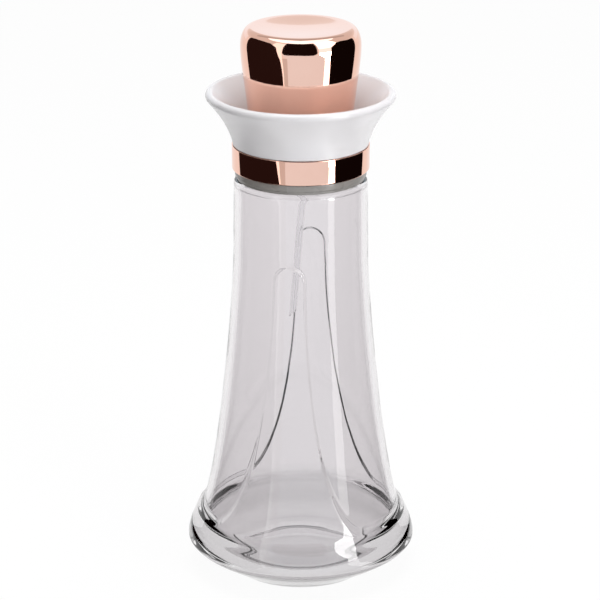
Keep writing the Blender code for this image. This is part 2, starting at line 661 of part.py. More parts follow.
def cap_liner(collection, material):
    top = CAP_TOP - CAP_WALL - CLEARANCE
    bottom = top - LINER_THICKNESS
    disc = CAP_FACE_RADIUS - LINER_INSET
    groove_half = SEAL_RING_RADIUS + CLEARANCE
    profile = [(0.0, top), (disc, top), (disc, bottom), (PLUG_RADIUS, bottom),
               (PLUG_RADIUS, SEAL_RING_HEIGHT + groove_half),
               (PLUG_GROOVE_RADIUS, SEAL_RING_HEIGHT + groove_half),
               (PLUG_GROOVE_RADIUS, SEAL_RING_HEIGHT - groove_half),
               (PLUG_RADIUS, SEAL_RING_HEIGHT - groove_half),
               (PLUG_RADIUS, PLUG_BOTTOM + PLUG_CHAMFER),
               (PLUG_RADIUS - PLUG_CHAMFER, PLUG_BOTTOM),
               (PLUG_HOLLOW_RADIUS, PLUG_BOTTOM), (PLUG_HOLLOW_RADIUS, bottom), (0.0, bottom)]
    return turned("cap_liner", profile, SMALL_STEPS, material, collection, False)


def cap_seal_ring(collection, material):
    centre = (SEAL_RING_CENTRE_RADIUS, SEAL_RING_HEIGHT)
    profile = arc(centre, SEAL_RING_RADIUS, 0, -360, 6)[:-1]
    return turned("cap_seal_ring", profile, SMALL_STEPS, material, collection)


def build():
    for thing in list(bpy.data.objects):
        bpy.data.objects.remove(thing)
    parts = new_collection(COLLECTION_NAME)
    cutters = new_collection(CUTTER_COLLECTION_NAME)
    glass = principled("clear_glass", (0.93, 0.94, 0.94), 0.02, transmission=1.0)
    grey_silicone = principled("grey_silicone", (0.36, 0.36, 0.34), 0.45)
    clear_silicone = principled("clear_silicone", (0.86, 0.86, 0.84), 0.40)
    white_gloss = principled("white_gloss", (0.88, 0.88, 0.88), 0.12)
    white_plain = principled("white_plain", (0.85, 0.85, 0.84), 0.30)
    clear_plastic = principled("clear_plastic", (0.90, 0.91, 0.92), 0.10, transmission=0.8)
    rose_gold = principled("rose_gold", (0.90, 0.60, 0.48), 0.06, metallic=1.0)
    rose_gold_band = principled("rose_gold_band", (0.90, 0.60, 0.48), 0.08, metallic=1.0)
    seal_rubber = principled("seal_rubber", (0.30, 0.30, 0.29), 0.50)
    glass_bottle(parts, glass)
    shoulder_ring(parts, grey_silicone)
    mouth_seal(parts, clear_silicone)
    pour_spout(parts, cutters, white_plain)
    vent_tube(parts, clear_plastic)
    screw_closure(parts, white_plain.copy())
    funnel_collar(parts, white_gloss)
    neck_band(parts, rose_gold_band)
    cap_shell(parts, rose_gold)
    cap_liner(parts, white_plain.copy())
    cap_seal_ring(parts, seal_rubber)


build()
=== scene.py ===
"""The looks of the oil cruet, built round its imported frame. Metres, +Z up."""
import math

import bpy
import numpy as np
from mathutils import Matrix, Vector

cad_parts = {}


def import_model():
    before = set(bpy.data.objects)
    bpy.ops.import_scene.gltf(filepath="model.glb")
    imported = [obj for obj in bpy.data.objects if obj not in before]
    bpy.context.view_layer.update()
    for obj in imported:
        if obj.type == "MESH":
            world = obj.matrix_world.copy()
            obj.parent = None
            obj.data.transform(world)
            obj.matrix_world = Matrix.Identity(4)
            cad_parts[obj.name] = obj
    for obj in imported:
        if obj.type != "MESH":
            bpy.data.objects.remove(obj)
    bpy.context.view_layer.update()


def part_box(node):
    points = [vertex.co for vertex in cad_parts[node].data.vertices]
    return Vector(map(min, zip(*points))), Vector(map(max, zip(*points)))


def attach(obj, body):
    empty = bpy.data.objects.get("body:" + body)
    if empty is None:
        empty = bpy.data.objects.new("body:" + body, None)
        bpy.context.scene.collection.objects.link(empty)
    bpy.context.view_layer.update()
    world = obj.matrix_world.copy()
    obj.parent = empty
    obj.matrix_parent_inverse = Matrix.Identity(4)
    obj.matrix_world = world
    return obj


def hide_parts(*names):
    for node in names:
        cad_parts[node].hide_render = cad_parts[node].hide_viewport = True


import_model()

# Sizes read from the frame
BOTTLE_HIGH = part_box("glass_bottle")[1]
RING_LOW, RING_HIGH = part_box("shoulder_ring")
SEAL_LOW, SEAL_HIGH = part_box("mouth_seal")
SPOUT_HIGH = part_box("pour_spout")[1]
COLLAR_LOW, COLLAR_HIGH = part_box("funnel_collar")
BAND_LOW, BAND_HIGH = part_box("neck_band")
CAP_LOW, CAP_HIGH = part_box("cap_shell")
LINER_LOW, LINER_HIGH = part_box("cap_liner")
SEAL_RING_LOW, SEAL_RING_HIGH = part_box("cap_seal_ring")

# Shared by many pieces. A rounding takes at most ROUNDING_SHARE of an edge
CLEARANCE = 0.0003
MOULDED_EDGE = 0.0003
ROUNDING_SHARE = 1 / 2.2
SHARP_ANGLE = math.radians(40)
TURNED_COLUMNS = 192
TINY = 1e-6

# Glass foot
FOOT_RADIUS = BOTTLE_HIGH.x
CONTACT_INNER_RADIUS = 0.0262
CONTACT_OUTER_RADIUS = 0.0302
CONTACT_EDGE = 0.0006
PUNT_DEPTH = 0.0015
FOOT_WIDEST_HEIGHT = 0.0136
FOOT_TOP_PULL = 0.35
FOOT_SIDE_PULL = (0.0, 0.30)
HEEL_SIDE_PULL = (0.0, 0.25)
HEEL_CONTACT_PULL = (0.37, 0.36)
PUNT_EDGE_PULL = (0.2, 1.0)
PUNT_MIDDLE_PULL = (0.5, 0.0)

# Glass body
MOUTH_HEIGHT = BOTTLE_HIGH.z
SHOULDER_HEIGHT = RING_LOW.z - CLEARANCE
HEM_HEIGHT = 0.0260
HEM_RADIUS = 0.04265
HEM_SLOPE = 0.42
FLARE_LENGTH = 0.1184
FLARE_HEM_PULL = 0.136
FLARE_WAIST_PULL = (0.0, 0.207)
FLARE_TOP = HEM_HEIGHT + FLARE_LENGTH
WAIST_RADIUS = 0.0282
COLUMN_TAPER = 0.00035
SHOULDER_RADIUS = WAIST_RADIUS - COLUMN_TAPER
SHOULDER_EDGE_RADIUS = 0.0017
WALL = 0.0024
FLOOR_THICKNESS = 0.0070
FLOOR_RADIUS = 0.0308
INNER_HEEL_RADIUS = 0.0095
INNER_SIDE_PULL = 0.35
INNER_SHOULDER_FILLET = 0.0024
INNER_SHOULDER_WALL = 0.0014

# Raised tongues and recessed panels
TONGUE_LENGTH = 0.1100
TONGUE_ARCH_RADIUS = 0.0057
ARCH_CENTRE_HEIGHT = HEM_HEIGHT + TONGUE_LENGTH
LEG_STRAIGHT = 0.0480
LEG_SPREAD = math.radians(46.5)
LEG_CURL = math.radians(20.5)
PANEL_DEPTH_AT_HEM = 0.0018
PANEL_DEPTH_AT_TIP = 0.00090
STEP_WIDTH_AT_HEM = 0.0040
STEP_WIDTH_AT_TIP = 0.0014
STEP_WIDTH_FADE = 0.0120

# Columns of faces in a quarter of the glass: on the tongue, its step, the panel
EDGE_COLUMNS = 14
STEP_COLUMNS = 8
PANEL_COLUMNS = 30
QUARTER_COLUMNS = EDGE_COLUMNS + STEP_COLUMNS + PANEL_COLUMNS

# Rows of faces outside the glass: over the tongues, on their arches, legs and curls
COLUMN_ROWS = 12
ARCH_ROWS = 40
LEG_ROWS = 58
CURL_ROWS = 26
CURL_HEIGHT = 0.0052
ARCH_STEP_DEGREES = 3

# Neck and its thread
NECK_RADIUS = 0.0206
BORE_RADIUS = 0.0174
NECK_EDGE = 0.0008
NECK_FILLET = 0.0010
THREAD_HEIGHT = 0.0009
THREAD_PITCH = 0.0040
THREAD_HALF_WIDTH = 0.0011
THREAD_START = SHOULDER_HEIGHT + 0.0045
NECK_THREAD_TURNS = (0.0, 1.25)
SLEEVE_THREAD_TURNS = (0.85, 2.2)
THREAD_RUNOUT = 1 / 12
THREAD_FLANK_POWER = 1.5
THREAD_MOST_TURNS = 3
THREAD_ROOM = 0.0010

# Soft ring on the shoulder
RING_GROOVE_HEIGHT = 0.0015
RING_GROOVE_DEPTH = 0.0007

# Band, funnel and screw closure
BAND_THICKNESS = 0.0010
BAND_EDGE = 0.0005
BAND_REVEAL = 0.0004
SKIRT_WALL = 0.0014
SLOT_ROOF = 0.0035
THREAD_SLEEVE_WALL = 0.0018
DECK_THICKNESS = 0.0020
CLOSURE_RIM_THICKNESS = 0.0014
FUNNEL_WALL = 0.0024
FUNNEL_LIP_THICKNESS = 0.0036
FUNNEL_LIP_INSIDE_DEGREES = 140
FUNNEL_LIP_OUTSIDE_DEGREES = -40
FUNNEL_OUTSIDE_LIP_PULL = (0.48, 0.30)
FUNNEL_OUTSIDE_FOOT_PULL = (0.13, 0.36)
FUNNEL_INSIDE_LIP_PULL = (0.46, 0.30)
FUNNEL_INSIDE_FOOT_PULL = (0.13, 0.33)
BAND_RADIUS = BAND_HIGH.x
BAND_BORE_RADIUS = BAND_RADIUS - BAND_THICKNESS
SKIRT_RADIUS = BAND_BORE_RADIUS - CLEARANCE
BAND_TOP = BAND_HIGH.z + CLEARANCE
DECK_TOP = CAP_LOW.z - CLEARANCE
DECK_BOTTOM = DECK_TOP - DECK_THICKNESS
SLEEVE_BORE_RADIUS = NECK_RADIUS + THREAD_ROOM + CLEARANCE
SLEEVE_RADIUS = SLEEVE_BORE_RADIUS + THREAD_SLEEVE_WALL
FUNNEL_FOOT_RADIUS = BAND_RADIUS - BAND_REVEAL
FUNNEL_FLOOR_RADIUS = FUNNEL_FOOT_RADIUS - FUNNEL_WALL

# Pour spout insert and vent tube
FLANGE_THICKNESS = 0.0015
TRAY_RADIUS = 0.0150
TRAY_DEPTH = 0.0038
TRAY_FLOOR = 0.0014
INSERT_SKIRT_LENGTH = 0.0065
INSERT_SKIRT_WALL = 0.0014
SPOUT_BORE_RADIUS = 0.0050
SPOUT_WALL = 0.0016
SPOUT_LIP_FLARE = 0.0021
SPOUT_LIP_HEIGHT = 0.0034
SPOUT_LIP_EDGE = SPOUT_WALL / 3
SPOUT_LIP_NECK_PULL = (0.0, 0.5)
SPOUT_LIP_EDGE_PULL = (0.6, 0.25)
SPOUT_TAIL = 0.0030
DRAIN_RADIUS = 0.0013
DRAIN_COUNT = 3
VENT_RADIUS = 0.0015
VENT_BORE_RADIUS = 0.0009
VENT_LENGTH = 0.0750
VENT_SEAT_DEPTH = TRAY_FLOOR / 4
VENT_SOCKET_DEPTH = 0.0040
VENT_SOCKET_WALL = 0.0009
VENT_TIP_SLANT = math.radians(48.0)
VENT_AZIMUTH = math.radians(175.5)
VENT_TILT = math.radians(4.6)
SPOUT_RADIUS = SPOUT_BORE_RADIUS + SPOUT_WALL
FLANGE_TOP = DECK_BOTTOM - CLEARANCE
FLANGE_BOTTOM = FLANGE_TOP - FLANGE_THICKNESS
TRAY_TOP = FLANGE_TOP - TRAY_DEPTH
TRAY_BOTTOM = TRAY_TOP - TRAY_FLOOR
VENT_RING_RADIUS = (SPOUT_RADIUS + TRAY_RADIUS) / 2

# Cap
CAP_RIM_RADIUS = 0.0210
CAP_SHOULDER_DROP = 0.0079
CAP_FACE_RADIUS = 0.0205
CAP_DISH = 0.0007
CAP_WALL = 0.0016
CAP_DISH_MIDDLE_PULL = (0.45, 0.0)
CAP_DISH_EDGE_PULL = (0.20, 0.0)
CAP_EDGE_FACE_PULL = (0.62, 0.0)
CAP_EDGE_SHOULDER_PULL = (0.0, 0.55)
CAP_SIDE_SHOULDER_PULL = (0.0, 0.20)
CAP_SIDE_RIM_PULL = (0.42, 0.50)
LINER_THICKNESS = 0.0018
PLUG_CLEARANCE = 0.0007
PLUG_RADIUS = SPOUT_BORE_RADIUS - PLUG_CLEARANCE
PLUG_HOLLOW_RADIUS = 0.0019
PLUG_CHAMFER = 0.00055
SEAL_RING_RADIUS = (SEAL_RING_HIGH.z - SEAL_RING_LOW.z) / 2

# Camera of the photograph
CAMERA_AZIMUTH = math.radians(9.5)
CAMERA_DISTANCE = 1.140
CAMERA_HEIGHT = 0.516
CAMERA_TARGET_HEIGHT = 0.1188
CAMERA_LENS = 171.8
CAMERA_SENSOR = 36.0
CAMERA_SHIFT = -0.0013


def bezier(start, first, second, end, count):
    """Points along a cubic curve of (radius, height), both ends included."""
    t = np.linspace(0.0, 1.0, count + 1)[:, None]
    start, first, second, end = (np.array(point) for point in (start, first, second, end))
    return ((1 - t) ** 3 * start + 3 * (1 - t) ** 2 * t * first
            + 3 * (1 - t) * t ** 2 * second + t ** 3 * end)


def sweep(start, end, start_pull, end_pull, count):
    """Points along a cubic curve whose handles are given as pulls.

    A pull is how far a handle lies from its own end, as shares of the curve's
    width and of its rise.
    """
    start, end = np.array(start), np.array(end)
    size = end - start
    return bezier(start, start + size * start_pull, end - size * end_pull, end, count)


def arc(centre, radius, start_degrees, end_degrees, count):
    """Points on a circle in the (radius, height) plane, both ends included."""
    angles = np.radians(np.linspace(start_degrees, end_degrees, count + 1))
    return np.stack([centre[0] + radius * np.cos(angles),
                     centre[1] + radius * np.sin(angles)], axis=1)


def rounded(corners, rounding, count=4):
    """A profile of (radius, height) corners, each turned into a small curve."""
    corners = np.array(corners)
    points = []
    for place, corner in enumerate(corners):
        before = corners[place - 1] - corner
        after = corners[(place + 1) % len(corners)] - corner
        before_length = np.hypot(*before)
        after_length = np.hypot(*after)
        reach = min(rounding, min(before_length, after_length) * ROUNDING_SHARE)
        start = corner + before / before_length * reach
        end = corner + after / after_length * reach
        points.append(bezier(start, (start + corner * 2) / 3, (end + corner * 2) / 3, end, count))
    return np.vstack(points)


def point_at(azimuth, radius, height):
    """A point round the axis. Azimuth 0 is the front, -Y, and it grows towards +X."""
    return radius * math.sin(azimuth), -radius * math.cos(azimuth), height


def in_scene(name, data):
    """A new object that stands in the scene."""
    thing = bpy.data.objects.new(name, data)
    bpy.context.scene.collection.objects.link(thing)
    return thing


def mesh_object(name, vertices, faces):
    mesh = bpy.data.meshes.new(name)
    mesh.from_pydata(vertices, [], faces)
    return in_scene(name, mesh)


def grid_object(name, rings, closed):
    """A surface through rings of points, from the first ring to the last.

    A ring whose points all lie on the axis becomes one point. A closed surface
    joins its last ring to its first.
    """
    vertices = []
    index = []
    for ring in rings:
        if np.abs(ring[:, :2]).max() < TINY:
            index.append(np.full(len(ring), len(vertices)))
            vertices.append(ring[0])
        else:
            index.append(np.arange(len(vertices), len(vertices) + len(ring)))
            vertices.extend(ring)
    faces = []
    pairs = list(zip(index, index[1:]))
    if closed:
        pairs.append((index[-1], index[0]))
    for upper, lower in pairs:
        for column in range(len(upper)):
            beside = (column + 1) % len(upper)
            corners = (upper[column], lower[column], lower[beside], upper[beside])
            faces.append([int(corner) for corner in dict.fromkeys(corners)])
    thing = mesh_object(name, [tuple(vertex) for vertex in vertices], faces)
    thing.data.shade_smooth()
    thing.data.update()
    return thing


def ring_of(azimuths, radii, height):
    """A level ring of points with these azimuths and radii."""
    return np.stack([radii * np.sin(azimuths), -radii * np.cos(azimuths),
                     np.full(len(azimuths), height)], axis=1)


def round_rings(azimuths, profile):
    """A round ring of points for each (radius, height) of a profile."""
    return [ring_of(azimuths, np.full(len(azimuths), radius), height)
            for radius, height in profile]


def even_azimuths(columns):
    return np.linspace(0.0, 2 * math.pi, columns, endpoint=False)


def turned(name, profile, columns=TURNED_COLUMNS, closed=True):
    """A turned surface. The profile runs down its outer side."""
    thing = grid_object(name, round_rings(even_azimuths(columns), profile), closed)
    thing.data.set_sharp_from_angle(angle=SHARP_ANGLE)
    return thing


def panel_radius(height):
    """Radius of the recessed panels and of the column over them."""
    hem_pull = (HEM_SLOPE * FLARE_LENGTH * FLARE_HEM_PULL / (HEM_RADIUS - WAIST_RADIUS),
                FLARE_HEM_PULL)
    curve = sweep((HEM_RADIUS, HEM_HEIGHT), (WAIST_RADIUS, FLARE_TOP),
                  hem_pull, FLARE_WAIST_PULL, count=240)
    return np.interp(height, [*curve[:, 1], SHOULDER_HEIGHT], [*curve[:, 0], SHOULDER_RADIUS])


def panel_depth(height):
    """How far the panels lie under the tongues, at a height."""
    share = np.clip((height - HEM_HEIGHT) / TONGUE_LENGTH, 0.0, 1.0)
    return PANEL_DEPTH_AT_HEM + (PANEL_DEPTH_AT_TIP - PANEL_DEPTH_AT_HEM) * share


def step_width(height):
    """Width of the slope between a tongue and the panels, at a height."""
    fade = math.exp(-max(height - HEM_HEIGHT, 0.0) / STEP_WIDTH_FADE)
    return STEP_WIDTH_AT_TIP + (STEP_WIDTH_AT_HEM - STEP_WIDTH_AT_TIP) * fade


def tongue_outline():
    """The leg and the whole outline of a quarter, as (azimuth, height) points."""
    arch_azimuth = TONGUE_ARCH_RADIUS / panel_radius(ARCH_CENTRE_HEIGHT)
    turns = np.radians(np.arange(0, 90, ARCH_STEP_DEGREES))
    arch = np.stack([arch_azimuth * np.sin(turns),
                     ARCH_CENTRE_HEIGHT + TONGUE_ARCH_RADIUS * np.cos(turns)], axis=1)
    leg = bezier((arch_azimuth, ARCH_CENTRE_HEIGHT),
                 (arch_azimuth, ARCH_CENTRE_HEIGHT - LEG_STRAIGHT),
                 (LEG_SPREAD - LEG_CURL, HEM_HEIGHT),
                 (LEG_SPREAD, HEM_HEIGHT), count=120)
    hem = [(math.pi / 2 + LEG_CURL, HEM_HEIGHT)]
    return leg, np.vstack([arch, leg, hem])


def recess(azimuths, height, radius, outline):
    """0 on the tongues and the foot, 1 on the panels, between them on the step."""
    if height <= HEM_HEIGHT + TINY:
        return np.zeros(len(azimuths))
    edge = np.interp(height, outline[-2::-1, 1], outline[-2::-1, 0])
    scale = np.array((radius, 1.0))
    points = np.stack([azimuths, np.full(len(azimuths), height)], axis=1)[:, None, :]
    starts = (outline[None, :-1] - points) * scale
    along = (outline[None, 1:] - points) * scale - starts
    share = -(starts * along).sum(axis=2) / (along ** 2).sum(axis=2)
    nearest = starts + along * np.clip(share, 0.0, 1.0)[..., None]
    distance = np.hypot(nearest[..., 0], nearest[..., 1]).min(axis=1)
    t = np.clip(distance / step_width(height), 0.0, 1.0)
    inside = (azimuths < edge) & (height < outline[0, 1])
    return np.where(inside, 0.0, t * t * (3 - 2 * t))


def quarter_azimuths(height, leg):
    """Azimuths of a quarter's columns, crowded on the step beside the tongue."""
    even = math.pi / 2 / QUARTER_COLUMNS
    even_edge = even * EDGE_COLUMNS
    heights = [FOOT_WIDEST_HEIGHT, *leg[::-1, 1], SHOULDER_HEIGHT]
    edge = np.interp(height, heights, [even_edge, *leg[::-1, 0], even_edge])
    step = step_width(height) / panel_radius(height)
    tip = ARCH_CENTRE_HEIGHT + TONGUE_ARCH_RADIUS
    even_step = even * STEP_COLUMNS
    step = np.interp(height, [FOOT_WIDEST_HEIGHT, HEM_HEIGHT, tip, SHOULDER_HEIGHT],
                     [even_step, step, step, even_step])
    return np.concatenate([np.linspace(0.0, edge, EDGE_COLUMNS + 1)[:-1],
                           np.linspace(edge, edge + step, STEP_COLUMNS + 1)[:-1],
                           np.linspace(edge + step, math.pi / 2, PANEL_COLUMNS + 1)])


def all_azimuths(quarter):
    """A quarter's azimuths, carried round the whole turn by mirroring."""
    half = np.concatenate([quarter[:-1], math.pi - quarter[:0:-1]])
    return np.concatenate([half, half + math.pi])


def all_radii(quarter):
    """A quarter's radii, carried round the whole turn by mirroring."""
    half = np.concatenate([quarter[:-1], quarter[:0:-1]])
    return np.concatenate([half, half])


def thread_ridge(azimuths, height, start, turns):
    """How far a screw thread stands out at a height, all round."""
    ridge = np.zeros(len(azimuths))
    for turn in range(THREAD_MOST_TURNS):
        travel = azimuths / (2 * math.pi) + turn
        off = np.abs(height - start - THREAD_PITCH * travel) / THREAD_HALF_WIDTH
        flank = (1 - np.clip(off, 0.0, 1.0) ** 2) ** THREAD_FLANK_POWER
        ends = np.minimum(travel - turns[0], turns[1] - travel)
        ends = np.clip(ends / THREAD_RUNOUT, 0.0, 1.0)
        ridge = np.maximum(ridge, ends * THREAD_HEIGHT * flank)
    return ridge


def cavity_profile():
    """(radius, height) from the middle of the floor up the inside to the mouth."""
    floor_radii = np.linspace(0.0, FLOOR_RADIUS, num=7)[:-1]
    floor_inside = np.column_stack([floor_radii, np.full(len(floor_radii), FLOOR_THICKNESS)])
    heel_centre = (FLOOR_RADIUS, FLOOR_THICKNESS + INNER_HEEL_RADIUS)
    heel = arc(heel_centre, INNER_HEEL_RADIUS, -90, 0, count=24)
    heel_radius, heel_height = heel[-1]
    wall_radius = HEM_RADIUS - WALL
    pull = (HEM_HEIGHT - heel_height) * INNER_SIDE_PULL
    side = bezier(heel[-1], (heel_radius, heel_height + pull),
                  (wall_radius + HEM_SLOPE * pull, HEM_HEIGHT - pull),
                  (wall_radius, HEM_HEIGHT), count=20)[1:]
    fillet = INNER_SHOULDER_FILLET
    ceiling = SHOULDER_HEIGHT - INNER_SHOULDER_WALL
    wall_top = ceiling - fillet
    wall_heights = np.linspace(HEM_HEIGHT, wall_top, num=54)[1:]
    wall = np.column_stack([panel_radius(wall_heights) - WALL, wall_heights])
    under = arc((wall[-1, 0] - fillet, wall_top), fillet, 0, 90, count=8)[1:]
    over = arc((BORE_RADIUS + fillet, ceiling + fillet), fillet, -90, -180, count=8)
    bore_heights = np.linspace(ceiling + fillet, MOUTH_HEIGHT - NECK_EDGE, num=6)[1:]
    bore = np.column_stack([np.full(len(bore_heights), BORE_RADIUS), bore_heights])
    rim_centre = (BORE_RADIUS + NECK_EDGE, MOUTH_HEIGHT - NECK_EDGE)
    rim = arc(rim_centre, NECK_EDGE, 180, 90, count=6)[1:]
    return np.vstack([floor_inside, heel, side, wall, under, over, bore, rim])


def glass_rings():
    """Rings of the whole glass surface: down the outside, under, and up the inside."""
    leg, outline = tongue_outline()
    even = even_azimuths(4 * QUARTER_COLUMNS)
    rim_centre = (NECK_RADIUS - NECK_EDGE, MOUTH_HEIGHT - NECK_EDGE)
    rings = round_rings(even, arc(rim_centre, NECK_EDGE, 90, 0, count=6))
    neck_bottom = SHOULDER_HEIGHT + NECK_FILLET
    for height in np.linspace(MOUTH_HEIGHT - NECK_EDGE, neck_bottom, num=48)[1:]:
        ridge = thread_ridge(even, height, THREAD_START, NECK_THREAD_TURNS)
        rings.append(ring_of(even, NECK_RADIUS + ridge, height))
    fillet_centre = (NECK_RADIUS + NECK_FILLET, neck_bottom)
    rings += round_rings(even, arc(fillet_centre, NECK_FILLET, 180, 270, count=5)[1:])
    edge_centre = (SHOULDER_RADIUS - SHOULDER_EDGE_RADIUS, SHOULDER_HEIGHT - SHOULDER_EDGE_RADIUS)
    rings += round_rings(even, arc(edge_centre, SHOULDER_EDGE_RADIUS, 90, 0, count=8)[:-1])

    column_top = SHOULDER_HEIGHT - SHOULDER_EDGE_RADIUS
    tip = ARCH_CENTRE_HEIGHT + TONGUE_ARCH_RADIUS + STEP_WIDTH_AT_TIP
    leg_top = ARCH_CENTRE_HEIGHT - TONGUE_ARCH_RADIUS
    curl_top = HEM_HEIGHT + CURL_HEIGHT
    heights = np.concatenate([np.linspace(column_top, tip, COLUMN_ROWS)[:-1],
                              np.linspace(tip, leg_top, ARCH_ROWS)[:-1],
                              np.linspace(leg_top, curl_top, LEG_ROWS)[:-1],
                              np.linspace(curl_top, HEM_HEIGHT, CURL_ROWS)])
    for height in heights:
        quarter = quarter_azimuths(height, leg)
        radius = panel_radius(height) + panel_depth(height)
        radii = radius - panel_depth(height) * recess(quarter, height, radius, outline)
        rings.append(ring_of(all_azimuths(quarter), all_radii(radii), height))

    top_radius = panel_radius(HEM_HEIGHT) + PANEL_DEPTH_AT_HEM
    foot_rise = HEM_HEIGHT - FOOT_WIDEST_HEIGHT
    top_pull = (HEM_SLOPE * foot_rise * FOOT_TOP_PULL / (FOOT_RADIUS - top_radius), FOOT_TOP_PULL)
    foot = sweep((top_radius, HEM_HEIGHT), (FOOT_RADIUS, FOOT_WIDEST_HEIGHT),
                 top_pull, FOOT_SIDE_PULL, count=22)[1:]
    for radius, height in foot:
        azimuths = all_azimuths(quarter_azimuths(height, leg))
        rings += round_rings(azimuths, [(radius, height)])
    heel = sweep((FOOT_RADIUS, FOOT_WIDEST_HEIGHT), (CONTACT_OUTER_RADIUS, 0.0),
                 HEEL_SIDE_PULL, HEEL_CONTACT_PULL, count=24)[1:]
    contact_edge = [(CONTACT_INNER_RADIUS + CONTACT_EDGE, 0.0)]
    punt = sweep((CONTACT_INNER_RADIUS, 0.0), (0.0, PUNT_DEPTH),
                 PUNT_EDGE_PULL, PUNT_MIDDLE_PULL, count=16)
    return rings + round_rings(even, np.vstack([heel, contact_edge, punt, cavity_profile()]))


def shoulder_ring():
    """The soft ring on the shoulder, with a groove just over the glass."""
    outer = RING_HIGH.x
    grooved = outer - RING_GROOVE_DEPTH
    inner = NECK_RADIUS + NECK_FILLET + CLEARANCE
    profile = rounded([(outer, RING_HIGH.z), (outer, RING_LOW.z + RING_GROOVE_HEIGHT),
                       (grooved, RING_LOW.z + RING_GROOVE_HEIGHT - RING_GROOVE_DEPTH / 2),
                       (grooved, RING_LOW.z), (inner, RING_LOW.z), (inner, RING_HIGH.z)],
                      RING_GROOVE_DEPTH / 2, count=5)
    return turned("neck_gasket", profile, columns=160)


def mouth_seal():
    """The washer between the mouth of the glass and the insert."""
    profile = rounded([(SEAL_HIGH.x, SEAL_HIGH.z), (SEAL_HIGH.x, SEAL_LOW.z),
                       (BORE_RADIUS + NECK_EDGE / 2, SEAL_LOW.z),
                       (BORE_RADIUS + NECK_EDGE / 2, SEAL_HIGH.z)], MOULDED_EDGE)
    return turned("mouth_gasket", profile, columns=128)


def screw_closure():
    """The threaded inner cap, whose thread runs between the turns of the neck's."""
    rim_radius = FUNNEL_FLOOR_RADIUS - CLEARANCE
    rim_bottom = DECK_TOP - CLOSURE_RIM_THICKNESS
    hole = TRAY_RADIUS + CLEARANCE
    corner_count = 3
    outer = rounded([(hole, DECK_BOTTOM), (hole, DECK_TOP), (rim_radius, DECK_TOP),
                     (rim_radius, rim_bottom), (SLEEVE_RADIUS, rim_bottom),
                     (SLEEVE_RADIUS, COLLAR_LOW.z), (SLEEVE_BORE_RADIUS, COLLAR_LOW.z),
                     (SLEEVE_BORE_RADIUS, DECK_BOTTOM)], MOULDED_EDGE, corner_count)
    last_corner = len(outer) - corner_count - 1
    azimuths = even_azimuths(TURNED_COLUMNS)
    rings = round_rings(azimuths, outer[:last_corner])
    sleeve_bottom = outer[last_corner - 1, 1]
    sleeve_top = outer[last_corner, 1]
    for height in np.linspace(sleeve_bottom, sleeve_top, num=56)[1:-1]:
        ridge = thread_ridge(azimuths, height, THREAD_START - THREAD_PITCH / 2, SLEEVE_THREAD_TURNS)
        rings.append(ring_of(azimuths, SLEEVE_BORE_RADIUS - ridge, height))
    rings += round_rings(azimuths, outer[last_corner:])
    thing = grid_object("threaded_closure", rings, closed=True)
    thing.data.set_sharp_from_angle(angle=SHARP_ANGLE)
    return thing


def funnel_collar():
    """The white funnel with its rounded lip and the skirt that carries the band."""
    lip = FUNNEL_LIP_THICKNESS / 2
    lip_centre = (COLLAR_HIGH.x - lip, COLLAR_HIGH.z - lip)
    rim = arc(lip_centre, lip, FUNNEL_LIP_INSIDE_DEGREES, FUNNEL_LIP_OUTSIDE_DEGREES, count=20)
    outside = sweep(rim[-1], (FUNNEL_FOOT_RADIUS, BAND_TOP),
                    FUNNEL_OUTSIDE_LIP_PULL, FUNNEL_OUTSIDE_FOOT_PULL, count=32)[1:]
    slot_outer = SKIRT_RADIUS - SKIRT_WALL
    slot_top = BAND_TOP - SLOT_ROOF
    bore = SLEEVE_RADIUS + CLEARANCE
    shoulder = DECK_TOP - CLOSURE_RIM_THICKNESS - CLEARANCE
    skirt = [(SKIRT_RADIUS, BAND_TOP), (SKIRT_RADIUS, COLLAR_LOW.z + MOULDED_EDGE),
             (SKIRT_RADIUS - MOULDED_EDGE, COLLAR_LOW.z), (slot_outer, COLLAR_LOW.z),
             (slot_outer, slot_top), (bore, slot_top), (bore, shoulder),
             (FUNNEL_FLOOR_RADIUS, shoulder)]
    inside = sweep((FUNNEL_FLOOR_RADIUS, DECK_TOP), rim[0],
                   FUNNEL_INSIDE_FOOT_PULL, FUNNEL_INSIDE_LIP_PULL, count=32)[:-1]
    return turned("drip_funnel", np.vstack([rim, outside, skirt, inside]))


def neck_band():
    corner = (BAND_RADIUS - BAND_EDGE, BAND_LOW.z + BAND_EDGE)
    top_edge = BAND_REVEAL / 2
    top_corner = (BAND_RADIUS - top_edge, BAND_HIGH.z - top_edge)
    profile = np.vstack([arc(top_corner, top_edge, 90, 0, count=5),
                         arc(corner, BAND_EDGE, 0, -90, count=8),
                         [(BAND_BORE_RADIUS, BAND_LOW.z), (BAND_BORE_RADIUS, BAND_HIGH.z)]])
    return turned("band", profile)


def cylinder(radius, top, bottom, place):
    """A capped cylinder along the place's Z, to join or cut with."""
    profile = [(0.0, top), (radius, top), (radius, bottom), (0.0, bottom)]
    thing = turned("cutter", profile, columns=48, closed=False)
    thing.data.transform(place)
    return thing


def combine(thing, other, operation):
    """Join or cut with another object, which is used up."""
    modifier = thing.modifiers.new("combine", "BOOLEAN")
    modifier.object = other
    modifier.operation = operation
    graph = bpy.context.evaluated_depsgraph_get()
    graph.update()
    mesh = bpy.data.meshes.new_from_object(thing.evaluated_get(graph))
    thing.modifiers.clear()
    thing.data = mesh
    bpy.data.objects.remove(other)


def ring_place(azimuth):
    """A point on the circle round the spout, at the underside of its tray."""
    return Vector(point_at(azimuth, VENT_RING_RADIUS, TRAY_BOTTOM))


def vent_frame():
    """Placement at the mouth of the vent socket: local -Z runs down the tube."""
    return Matrix.Translation(ring_place(VENT_AZIMUTH)) @ Matrix.Rotation(VENT_TILT, 4, "Y")


